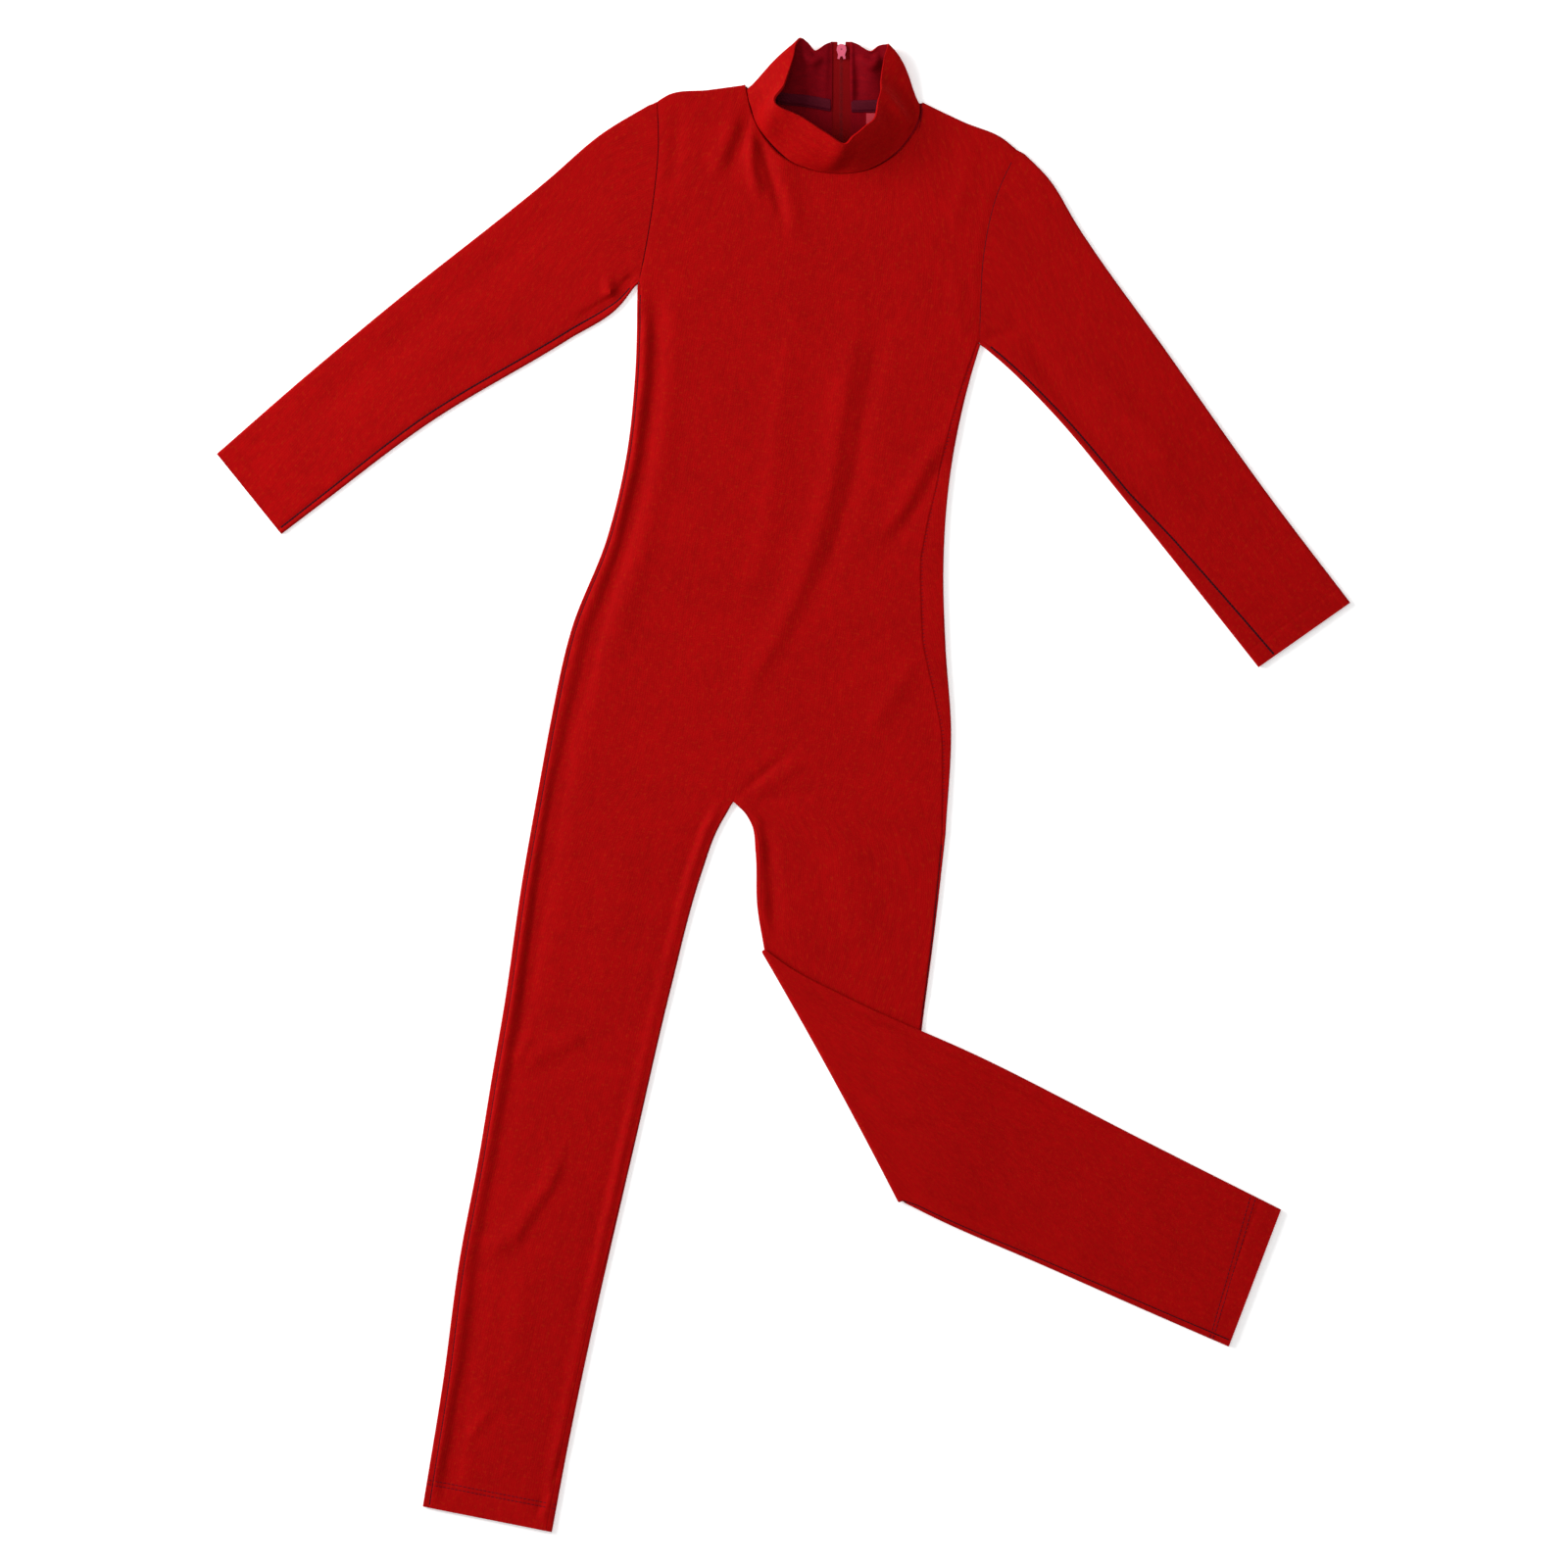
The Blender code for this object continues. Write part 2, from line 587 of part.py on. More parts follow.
def leg_rows_left():
    """The thigh, the fold at the knee, and the lower leg turned over on top of it."""
    rows = []
    for share in THIGH_ROWS:
        outer = through(LEFT_OUTSEAM, [share])[0]
        inner = through(LEFT_INSEAM, [share])[0]
        seams = (from_table(LEG_SEAMS[LEFT], share), from_table(LEG_SEAMS[LEFT], share, 2))
        row = Row(outer, inner, seams, share=share)
        turned = smooth(share / 0.045)
        row.inner_roll = (turned, 0.75 + 0.25 * turned)
        row.inset = {FRONT: 0.3 * (1 - turned), BACK: 0.7 * (1 - turned)}
        row.step = FLAT_STEP * 0.25
        row.sag = FOLD_SAG * smooth((share - 0.6) / 0.4)
        rows.append(row)
    for turn in FOLD_TURNS:
        row = Row(LEFT_OUTSEAM[-1], LEFT_INSEAM[-1], (3.0, 4.0), "fold", turn=turn)
        row.sag = FOLD_SAG
        rows.append(row)
    for share in FOLDED_ROWS:
        outer = through(FOLDED_OUTSEAM, [share])[0]
        inner = through(FOLDED_INSEAM, [share])[0]
        seams = (from_table(FOLDED_SEAMS, share), from_table(FOLDED_SEAMS, share, 2))
        row = Row(outer, inner, seams, "folded", share)
        row.sag = FOLD_SAG * (1 - smooth(share / 0.2))
        rows.append(row)
    return rows


def body_half(side, layer):
    """The grid of one half of the front or of the back, from the shoulder to the hem."""
    rows = torso_rows(side, layer)
    armhole = len(ARMHOLE_ROWS)
    top = raise_top(layer_grid(rows[:armhole], layer), rows[:armhole], side, layer)
    rest = rows[armhole:] + (leg_rows_right() if side == RIGHT else leg_rows_left())
    return np.concatenate([top, layer_grid(rest, layer)])


def strip_object(name, grids, material, collection, thickness=WALL):
    """One object from open grids of points, welded where they meet and given its thickness."""
    mesh = bpy.data.meshes.new(name)
    built = bmesh.new()
    for grid in grids:
        verts = [[built.verts.new(np.array(point) * MM) for point in row] for row in grid]
        for upper, lower in zip(verts, verts[1:]):
            for k in range(len(upper) - 1):
                built.faces.new((upper[k], lower[k], lower[k + 1], upper[k + 1]))
    bmesh.ops.remove_doubles(built, verts=built.verts[:], dist=0.02 * MM)
    bmesh.ops.recalc_face_normals(built, faces=built.faces[:])
    built.to_mesh(mesh)
    built.free()
    item = bpy.data.objects.new(name, mesh)
    mesh.materials.append(bpy.data.materials[material])
    collection.objects.link(item)
    solid = item.modifiers.new("thickness", "SOLIDIFY")
    solid.thickness = thickness * MM
    solid.offset = 0.0
    solid.use_even_offset = True
    solid.use_quality_normals = True
    return item


def sleeve_grid(side):
    """Rings from the armhole to the cuff, open along the seam under the arm."""
    grid = []
    for share in SLEEVE_ROWS:
        upper = through(SLEEVE_TOPS[side], [share])[0]
        lower = through(SLEEVE_BOTTOMS[side], [share])[0]
        seam = from_table(SLEEVE_SEAMS[side], share)
        grid.append(sleeve_ring(side, share, upper, lower, seam))
    return np.array(grid)


def sleeve_ring(side, share, upper, lower, seam):
    """(x, y, z) round the sleeve, from its seam over the top, underneath and back to the seam."""
    width = float(np.linalg.norm(upper - lower))
    half = SHOULDER_HALF
    quarter = half * math.pi / 2
    ring = WALL / 2 + half
    start = ring + seam + SEAM_GAP / 2 - quarter
    columns = [(start, 1.0)]
    reach = width - ring - start
    columns += [(start + reach * k / 6, 1.0) for k in range(1, 6)]
    for turn in (90, 45, 0, -45, -90):
        angle = math.radians(turn)
        columns.append((width - WALL / 2 - half * (1 - math.cos(angle)), math.sin(angle)))
    columns += [(width - ring - (width - 2 * ring) * k / 3, -1.0) for k in (1, 2)]
    for turn in (-90, -35, 35, 90):
        angle = math.radians(turn)
        columns.append((WALL / 2 + half * (1 - math.cos(angle)), math.sin(angle)))
    columns.append((ring + seam - SEAM_GAP / 2 - quarter, 1.0))
    straight = np.array(ARMHOLES[side][0]) - np.array(ARMHOLES[side][-1])
    along = np.array([side * SLEEVE_WAY[0], SLEEVE_WAY[1]])
    fade = max(1.0 - share / 0.4, 0.0) ** 2
    found = []
    for inwards, turned in columns:
        f = inwards / width
        armhole = through(ARMHOLES[side], [1.0 - f])[0]
        bow = armhole - (np.array(ARMHOLES[side][-1]) + straight * f)
        point = lower + (upper - lower) * f + bow * fade
        if share == 0.0:
            point = armhole + along * ARMHOLE_GAP
        found.append((point[0], point[1], height_between(turned, *point)))
    return found


def collar_grid():
    """Rows from the collar's foot to its top edge."""
    keys = np.linspace(0, 1, len(COLLAR))
    stations = curve(COLLAR, keys, np.linspace(0, 1, COLLAR_STATIONS))
    feet, tops = stations[:, :3], stations[:, 3:6]
    grid = []
    for share in COLLAR_ROWS:
        points = feet + (tops - feet) * share
        away = points[:, :2] - np.array(COLLAR_MIDDLE)
        away = away / np.linalg.norm(away, axis=1)[:, None]
        bow = 4 * share * (1 - share) * stations[:, 6]
        points[:, :2] += away * bow[:, None]
        grid.append(points)
    return np.array(grid)


def zip_height(y):
    low, high = ZIP_RISE_Y
    return BACK_MID + (ZIP_TOP_Z - BACK_MID) * smooth((y - low) / (high - low))


def zip_levels(top):
    rise = np.linspace(top, ZIP_RISE_Y[0] - 2, 9)
    return list(rise) + list(np.linspace(ZIP_RISE_Y[0] - 2, ZIP_END_Y, 14)[1:])


def tape_grid(side):
    grid = []
    for y in zip_levels(ZIP_TOP_Y):
        x = centre_point(y)[0]
        grid.append([(x + side * w, y, zip_height(y)) for w in (TAPE_INNER, TAPE_OUTER)])
    return np.array(grid)


def make_coil(collection):
    line = bpy.data.curves.new("zip_coil", "CURVE")
    line.dimensions = "3D"
    line.bevel_depth = COIL_RADIUS * MM
    line.bevel_resolution = 1
    line.use_fill_caps = True
    levels = zip_levels(COIL_TOP_Y)
    spline = line.splines.new("POLY")
    spline.points.add(len(levels) - 1)
    for point, y in zip(spline.points, levels):
        z = max(zip_height(y), COIL_RADIUS + 0.05)
        point.co = (centre_point(y)[0] * MM, y * MM, z * MM, 1.0)
    item = bpy.data.objects.new("zip_coil", line)
    line.materials.append(bpy.data.materials["red_coil"])
    collection.objects.link(item)


def plate(name, outline, hole, z_range, collection, centre):
    """A flat plate from its outline, as a filled curve turned into a mesh."""
    filled = bpy.data.curves.new(name, "CURVE")
    filled.dimensions = "2D"
    filled.fill_mode = "BOTH"
    filled.extrude = (z_range[1] - z_range[0]) / 2 * MM
    for line in (outline, hole):
        spline = filled.splines.new("POLY")
        spline.points.add(len(line) - 1)
        spline.use_cyclic_u = True
        for point, (x, y) in zip(spline.points, line):
            point.co = (x * MM, y * MM, 0.0, 1.0)
    maker = bpy.data.objects.new(name + "_outline", filled)
    collection.objects.link(maker)
    bpy.context.view_layer.update()
    graph = bpy.context.evaluated_depsgraph_get()
    mesh = bpy.data.meshes.new_from_object(maker.evaluated_get(graph))
    welded = bmesh.new()
    welded.from_mesh(mesh)
    bmesh.ops.remove_doubles(welded, verts=welded.verts[:], dist=0.001 * MM)
    bmesh.ops.recalc_face_normals(welded, faces=welded.faces[:])
    welded.to_mesh(mesh)
    welded.free()
    bpy.data.objects.remove(maker, do_unlink=True)
    mesh.name = name
    item = bpy.data.objects.new(name, mesh)
    item.location = (centre[0] * MM, centre[1] * MM, sum(z_range) / 2 * MM)
    collection.objects.link(item)
    return item


def block(name, low, high, collection):
    """A plain block between two corners."""
    centre = [(a + b) / 2 * MM for a, b in zip(low, high)]
    bpy.ops.mesh.primitive_cube_add(size=1.0, location=centre)
    item = bpy.context.object
    item.name = name
    item.scale = [(b - a) * MM for a, b in zip(low, high)]
    for other in item.users_collection:
        other.objects.unlink(item)
    collection.objects.link(item)
    return item


def oval(x, y, radius_x, radius_y, count=10):
    turns = [2 * math.pi * k / count for k in range(count)]
    return [(x + radius_x * math.cos(t), y + radius_y * math.sin(t)) for t in turns]


def join_with(item, helpers):
    for helper in helpers:
        helper.hide_render = True
        helper.display_type = "WIRE"
        union = item.modifiers.new("with " + helper.name, "BOOLEAN")
        union.operation = "UNION"
        union.solver = "EXACT"
        union.object = helper


def make_slider(collection, helpers):
    """The slider: the plate inside the neck, the post between the tapes, and the arch below."""
    x, y = SLIDER_X, SLIDER_Y
    slider = plate("zip_slider", SLIDER_PLATE, oval(*SLIDER_HOLE), PLATE_Z, collection, (x, y))
    slider.data.materials.append(bpy.data.materials["pink_enamel"])
    low, high = UNDER_PLATE_Z
    arch_low, arch_high = ARCH_Z
    near, far = PIVOT_Y - ARCH_HALF, PIVOT_Y + ARCH_HALF
    inside_plate, inside_under = PLATE_Z[1] - 0.1, low + 0.3
    # Columns: name, lowest corner, highest corner. Each reaches into the one that it is joined to.
    blocks = (
        ("slider_post", (x - 0.75, y + 2.2, low + 0.1), (x + 0.75, y + 4.9, inside_plate)),
        ("slider_under", (x - 3.0, y - 4.9, low), (x + 3.0, y + 5.2, high)),
        ("slider_bar", (x - 0.8, near, arch_low), (x + 0.8, far, arch_high)),
        ("slider_leg_low", (x - 0.79, near + 0.01, 0.3), (x + 0.79, near + 0.79, inside_under)),
        ("slider_leg_high", (x - 0.79, far - 0.79, 0.3), (x + 0.79, far - 0.01, inside_under)),
    )
    join_with(slider, [block(*row, helpers) for row in blocks])


def make_tab(collection):
    """The pull tab: a plate with a slot, hinged on the arch."""
    near, far, slot = TAB_SLOT
    half = TAB_WIDTH / 2
    outline = [
        (-half, 0.45),
        (-half, -TAB_LENGTH + 1.6),
        (-half + 1.6, -TAB_LENGTH),
        (half - 1.6, -TAB_LENGTH),
        (half, -TAB_LENGTH + 1.6),
        (half, 0.45),
    ]
    opening = [(-slot, -near), (-slot, -far), (slot, -far), (slot, -near)]
    thick = (PIVOT_Z - TAB_THICK / 2, PIVOT_Z + TAB_THICK / 2)
    tab = plate("zip_tab", outline, opening, thick, collection, (SLIDER_X, PIVOT_Y))
    tab.data.materials.append(bpy.data.materials["pink_enamel"])
    tab.rotation_euler = (math.radians(TAB_DROP_DEG), 0.0, 0.0)


def make_label(collection):
    left, low, right, high = LABEL
    item = block(
        "neck_label",
        (left, low, LABEL_Z - LABEL_THICK / 2),
        (right, high, LABEL_Z + LABEL_THICK / 2),
        collection,
    )
    item.data.materials.append(bpy.data.materials["label_satin"])


def main():
    clear_scene()
    make_materials()
    garment = bpy.data.collections.new("unitard")
    helpers = bpy.data.collections.new("cutters")
    helpers.hide_render = True
    for collection in (garment, helpers):
        bpy.context.scene.collection.children.link(collection)
    front = [body_half(side, FRONT) for side in (RIGHT, LEFT)]
    strip_object("front", front, "red_knit", garment)
    strip_object("back_right", [body_half(RIGHT, BACK)], "red_knit", garment)
    strip_object("back_left", [body_half(LEFT, BACK)], "red_knit", garment)
    strip_object("sleeve_right", [sleeve_grid(RIGHT)], "red_knit", garment)
    strip_object("sleeve_left", [sleeve_grid(LEFT)], "red_knit", garment)
    strip_object("collar", [collar_grid()], "red_knit", garment, COLLAR_WALL)
    strip_object("zip_tape_right", [tape_grid(RIGHT)], "red_tape", garment, TAPE_THICK)
    strip_object("zip_tape_left", [tape_grid(LEFT)], "red_tape", garment, TAPE_THICK)
    make_coil(garment)
    make_slider(garment, helpers)
    make_tab(garment)
    make_label(garment)
    for item in list(garment.objects) + list(helpers.objects):
        item.location.x += CENTRING[0] * MM
        item.location.y += CENTRING[1] * MM


main()
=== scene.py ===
"""The look of a child's red unitard with long sleeves and full legs, laid flat, front upwards.

Its left lower leg is folded over at the knee. The cloth follows the same named lines and sizes as
the solids under it, in millimetres, with its creases, seams and stitching added.
"""

import math

import bmesh
import bpy
import numpy as np
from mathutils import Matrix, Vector


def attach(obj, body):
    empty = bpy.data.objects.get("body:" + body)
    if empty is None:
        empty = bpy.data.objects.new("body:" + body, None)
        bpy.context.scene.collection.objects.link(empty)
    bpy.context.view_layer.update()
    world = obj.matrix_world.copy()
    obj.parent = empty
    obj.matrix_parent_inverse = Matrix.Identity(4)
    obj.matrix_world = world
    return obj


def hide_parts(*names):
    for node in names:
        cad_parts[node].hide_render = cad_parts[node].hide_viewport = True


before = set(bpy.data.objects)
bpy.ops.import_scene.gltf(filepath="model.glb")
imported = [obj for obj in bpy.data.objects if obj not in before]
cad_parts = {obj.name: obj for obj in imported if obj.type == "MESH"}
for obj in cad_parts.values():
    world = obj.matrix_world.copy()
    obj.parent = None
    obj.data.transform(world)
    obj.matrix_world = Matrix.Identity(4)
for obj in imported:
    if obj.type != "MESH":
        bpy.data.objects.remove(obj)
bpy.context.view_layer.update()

# Sizes and places are in millimetres until MM makes them metres.
MM = 0.001
CENTRING = np.array([0.4, 0.65])  # from the places below to the part's own
WALL = 1.0
SEAM_GAP = 0.2  # between the edges of two pieces
ARMHOLE_OVERLAP = 0.6  # the sleeve's edge lies on the body's, which is pressed down there
BACK_MID = 0.55  # height of the middle of the cloth underneath
FRONT_MID = 2.15  # and of the upper cloth where something presses it flat
LOFT = 0.9  # how much higher the upper cloth lies elsewhere
DEEPEST = 0.45  # how far a trough may go below the height of an even front
UNDER_FOLLOWS = 0.3  # the share of a swell that the layer underneath takes part in
EDGE_COLUMNS = 7  # columns of points that turn round an edge
FLAT_STEP = 2.6  # their spacing where the cloth ends flat
NEAR_STEP, NEAR_OUTER, NEAR_INNER = 1.5, 13, 8  # finer columns beside the edges
INSIDE = 34  # columns between the finer ones
FRONT, BACK = 1, -1
RIGHT, LEFT = -1, 1

# The outline, from the wearer's right (x below 0) to the left. Columns: x, y.

RIGHT_SIDE = (
    (-107.6, 367.0),
    (-109.4, 300.2),
    (-115.5, 243.0),
    (-130.3, 180.0),
    (-155.9, 114.5),
    (-171.7, 44.6),
    (-178.6, 7.2),
)
LEFT_SIDE = (
    (144.2, 322.4),
    (137.5, 300.2),
    (121.0, 218.2),
    (117.2, 160.0),
    (118.8, 100.1),
    (122.8, 40.3),
    (118.8, -36.0),
)
RIGHT_OUTSEAM = (
    (-178.6, 7.2),
    (-192.5, -72.0),
    (-205.6, -162.7),
    (-214.6, -215.3),
    (-224.6, -276.1),
    (-237.8, -345.6),
    (-250.9, -441.4),
    (-265.4, -530.6),
)
RIGHT_INSEAM = (
    (-37.1, -13.0),
    (-49.0, -33.8),
    (-60.5, -65.5),
    (-83.5, -151.9),
    (-108.4, -259.2),
    (-137.5, -385.9),
    (-158.4, -485.3),
    (-170.4, -549.4),
)
RIGHT_EDGE = RIGHT_SIDE + RIGHT_OUTSEAM[1:]
LEFT_OUTSEAM = ((118.8, -36.0), (110.7, -107.3), (101.2, -179.3), (86.6, -306.3))
LEFT_INSEAM = (
    (-37.1, -13.0),
    (-28.8, -20.9),
    (-23.8, -29.5),
    (-20.9, -50.0),
    (-19.5, -90.0),
    (-14.2, -121.5),
)
FOLDED_OUTSEAM = (
    (86.6, -306.3),
    (107.3, -316.8),
    (193.7, -355.0),
    (285.1, -395.3),
    (326.6, -413.3),
)
FOLDED_INSEAM = (
    (-14.2, -121.5),
    (2.9, -133.9),
    (45.4, -156.2),
    (144.0, -200.5),
    (259.2, -259.2),
    (365.0, -312.5),
)
CENTRE_LINE = (
    (42.2, 547.0),
    (42.0, 495.5),
    (41.6, 447.1),
    (27.0, 345.0),
    (0.0, 190.0),
    (-13.0, 118.0),
    (-26.0, 30.0),
    (-37.1, -13.0),
)
SHOULDERS = {
    RIGHT: ((-94.0, 500.6), (-85.0, 506.2), (-55.8, 509.8), (-28.8, 513.4)),
    LEFT: ((172.0, 465.0), (160.2, 474.5), (132.5, 486.0), (102.2, 500.4)),
}
FRONT_NECK = {
    RIGHT: ((-28.8, 513.4), (-25.6, 496.8), (-14.4, 473.4), (0.7, 457.9), (18.7, 450.0), (41.6, 447.1)),
    LEFT: ((102.2, 500.4), (100.1, 486.7), (93.6, 474.5), (83.5, 462.2), (67.0, 451.4), (41.6, 447.1)),
}
NECK_TUCK = {FRONT: 1.3, BACK: 3.0}  # how far the body's edge goes in under the collar
BACK_NECK = {
    RIGHT: ((-28.8, 513.4), (-20.0, 504.5), (-2.2, 499.7), (42.0, 495.5)),
    LEFT: ((102.2, 500.4), (88.0, 497.2), (67.0, 495.4), (42.0, 495.5)),
}
ARMHOLES = {
    RIGHT: ((-94.0, 500.6), (-93.0, 470.0), (-96.5, 430.6), (-103.0, 390.0), (-107.6, 367.0)),
    LEFT: ((172.0, 465.0), (157.0, 432.0), (147.6, 390.0), (145.0, 350.0), (144.2, 322.4)),
}
SLEEVE_TOPS = {
    RIGHT: ((-95.0, 501.1), (-133.6, 477.7), (-172.8, 444.2),
            (-294.5, 347.0), (-356.4, 295.2), (-416.7, 242.5)),
    LEFT: ((173.0, 466.3), (194.4, 444.6), (215.3, 410.4), (281.5, 316.8), (355.7, 212.4), (415.9, 133.2)),
}
SLEEVE_BOTTOMS = {
    RIGHT: ((-108.7, 367.0), (-122.0, 349.9), (-158.8, 326.2),
            (-262.1, 264.2), (-339.8, 205.9), (-369.2, 183.5)),
    LEFT: ((145.4, 322.2), (164.2, 306.0), (195.1, 275.0), (254.9, 203.3), (313.2, 130.3), (348.5, 85.7)),
}

# The seams, in from the outline over the front. Below 0 they lie on the back.

# Columns: share of the length, outer seam, and inner seam on the legs.
SIDE_SEAM = {
    RIGHT: ((0.0, 2.5), (0.5, 3.0), (1.0, 4.0)),
    LEFT: ((0.0, 2.5), (0.3, 9.0), (0.45, 17.0), (0.62, 17.0), (0.8, 7.0), (1.0, 2.5)),
}
LEG_SEAMS = {
    RIGHT: ((0.0, 4.0, 0.6), (0.5, 4.2, 0.8), (0.62, 4.4, 1.6), (0.72, 4.6, 4.0), (1.0, 5.0, 5.0)),
    LEFT: ((0.0, 2.5, 0.6), (0.3, 1.5, 4.5), (1.0, 0.5, 6.0)),
}
FOLDED_SEAMS = ((0.0, -1.0, 5.0), (0.06, -4.6, 3.0), (0.15, -5.0, 1.5), (1.0, -5.2, 0.8))
SLEEVE_SEAMS = {
    RIGHT: ((0.0, 3.0), (0.1, 6.5), (0.6, 6.0), (1.0, 4.0)),
    LEFT: ((0.0, 4.0), (0.5, 6.0), (0.65, 10.0), (1.0, 15.0)),
}

# The creases of the upper layer.

# Columns: what it is, rise (troughs below 0), width to the left of its line and to the right, line.
CREASES = (
    ("trough in the right flank", -0.8, 5, 6,
     ((-98, 300), (-106, 227), (-119, 174), (-130, 132), (-144, 78), (-153, 40))),
    ("swell beside it", 0.5, 7, 9, ((-84, 300), (-91, 227), (-104, 170), (-128, 78))),
    ("long centre fold", 1.3, 10, 6.5,
     ((57, 352), (43, 279), (36, 227), (24, 180), (11, 142), (-4, 110), (-23, 78), (-28, 40))),
    ("trough right of it", -0.9, 5, 8, ((72, 340), (60, 279), (52, 227), (38, 176), (22, 132))),
    ("weak fold left of it", 0.6, 8, 10, ((11, 362), (-4, 269), (-12, 190), (-30, 120))),
    ("fold at the left waist", 1.2, 8, 5, ((124, 262), (101, 229), (87, 201), (68, 182))),
    ("trough under it", -0.6, 5, 6, ((124, 244), (104, 214), (88, 188), (70, 168))),
    ("fold over the left hip", 0.8, 7, 7, ((98, 92), (78, 62), (62, 38))),
    ("pull at the collar, outer", -2.2, 4.0, 4.0, ((-26, 492), (-31, 474), (-39, 452))),
    ("ridge between the pulls", 2.0, 4, 4, ((-24, 478), (-24, 452), (-18, 432))),
    ("pull at the collar, inner", -1.6, 3.0, 3.4, ((-19, 476), (-8, 441), (0, 412))),
    ("swell inside it", 1.1, 5, 8, ((-6, 462), (4, 432), (8, 400))),
    ("swell outside the pulls", 1.3, 6, 5, ((-34, 492), (-42, 472), (-52, 446))),
    ("pull under the shoulder", -0.5, 5, 5, ((-76, 496), (-80, 462), (-84, 430))),
    ("fold by the left shoulder", 0.5, 7, 7, ((136, 474), (132, 440), (124, 400))),
    ("crotch pull", -0.8, 3.0, 3.6, ((-33, -8), (-10, 11), (9, 27))),
    ("ridge under it", 0.6, 4.5, 5, ((-26, -8), (-4, 5), (14, 16))),
    ("crotch cross pull", -0.6, 3, 3, ((-22, -12), (2, -9), (26, -8))),
    ("crotch pull, right leg", 0.5, 5, 6, ((-48, -6), (-70, 6), (-92, 12))),
    ("trough inside the outseam", -0.7, 4, 5, ((-166, 30), (-180, -72), (-189, -144), (-195, -186))),
    ("bulge by the knee", 1.0, 5, 5, ((-186, -180), (-190, -192), (-198, -206))),
    ("knee fold", 1.1, 3.2, 9, ((-192, -208), (-176, -199), (-160, -192), (-143, -185))),
    ("trough under the knee fold", -0.4, 5, 5, ((-190, -220), (-172, -211), (-156, -203))),
    ("calf fold", 1.4, 12, 3.4,
     ((-160, -266), (-172, -295), (-187, -316), (-197, -334), (-208, -339), (-226, -348))),
    ("trough over the calf fold", -0.3, 6, 6,
     ((-172, -268), (-184, -296), (-198, -316), (-212, -326), (-226, -332))),
    ("band by the outseam", 0.8, 5, 6, ((-229, -360), (-234, -392), (-240, -446))),
    ("shin swell", 0.6, 9, 10, ((-190, -350), (-196, -400), (-204, -450))),
    ("ankle fold, upper", 0.8, 3.5, 4, ((-234, -485), (-224, -470), (-214, -458))),
    ("ankle fold, lower", 0.8, 4, 4, ((-252, -476), (-239, -489), (-226, -509))),
    ("fold at the hem's corner", -0.7, 3, 3, ((-160, -486), (-170, -512), (-182, -539))),
    ("trough under the sleeve's top", -0.6, 10, 11, ((-150, 430), (-279, 328), (-341, 276), (-388, 238))),
    ("elbow swell, right", 0.5, 14, 12, ((-206, 350), (-246, 322), (-282, 296))),
    ("pucker at the right armpit", 2.3, 2.6, 2.6, ((-128, 372), (-129, 366), (-128, 357))),
    ("pull at the right armpit", -2.4, 3, 3,
     ((-106, 375), (-113, 371), (-121, 360), (-133, 351), (-152, 341))),
    ("trough down the left sleeve", -1.0, 6, 9, ((168, 345), (209, 277), (249, 229), (296, 174))),
    ("elbow swell, left", 1.0, 9, 9, ((230, 300), (262, 262), (290, 226))),
    ("pull at the left armpit", -0.8, 3.5, 4, ((146, 327), (160, 330), (176, 336))),
    ("fold by the left armhole", 0.5, 5, 6, ((132, 330), (128, 352), (126, 380))),
    ("rise to the front of the neck", 1.4, 14, 14,
     ((-16, 475), (0.7, 458), (34, 446), (67, 451), (90, 470))),
    ("thigh swell", 0.7, 16, 14, ((40, -40), (52, -84), (60, -120))),
    ("thigh trough by the inseam", -0.7, 4, 5, ((-12, -40), (-8, -76), (-4, -104))),
    ("right thigh swell", 0.6, 18, 16, ((-112, -40), (-128, -110), (-142, -170))),
)
# The same on the back of the folded lower leg, which lies upwards.
FOLDED_CREASES = (
    ("crease below the top edge", -1.5, 4, 5,
     ((-2, -150), (24, -159), (45, -171), (83, -186), (109, -199), (144, -217), (207, -248), (285, -289))),
    ("ridge along the top edge", 0.7, 3, 3,
     ((26, -151), (47, -162), (90, -181), (144, -207), (207, -239), (262, -267))),
    ("swell under it", 1.1, 7, 10, ((30, -174), (75, -197), (130, -226), (200, -262))),
    ("shin swell", 0.7, 12, 14, ((110, -262), (180, -300), (250, -332))),
    ("knee crease", 0.8, 5, 6, ((56, -232), (76, -240), (104, -246))),
    ("ridge by the outseam", 1.1, 3, 3.2, ((98, -306), (110, -310), (196, -348), (288, -389), (330, -407))),
    ("bottom trough", -0.9, 4, 6, ((112, -304), (199, -342), (290, -383))),
)
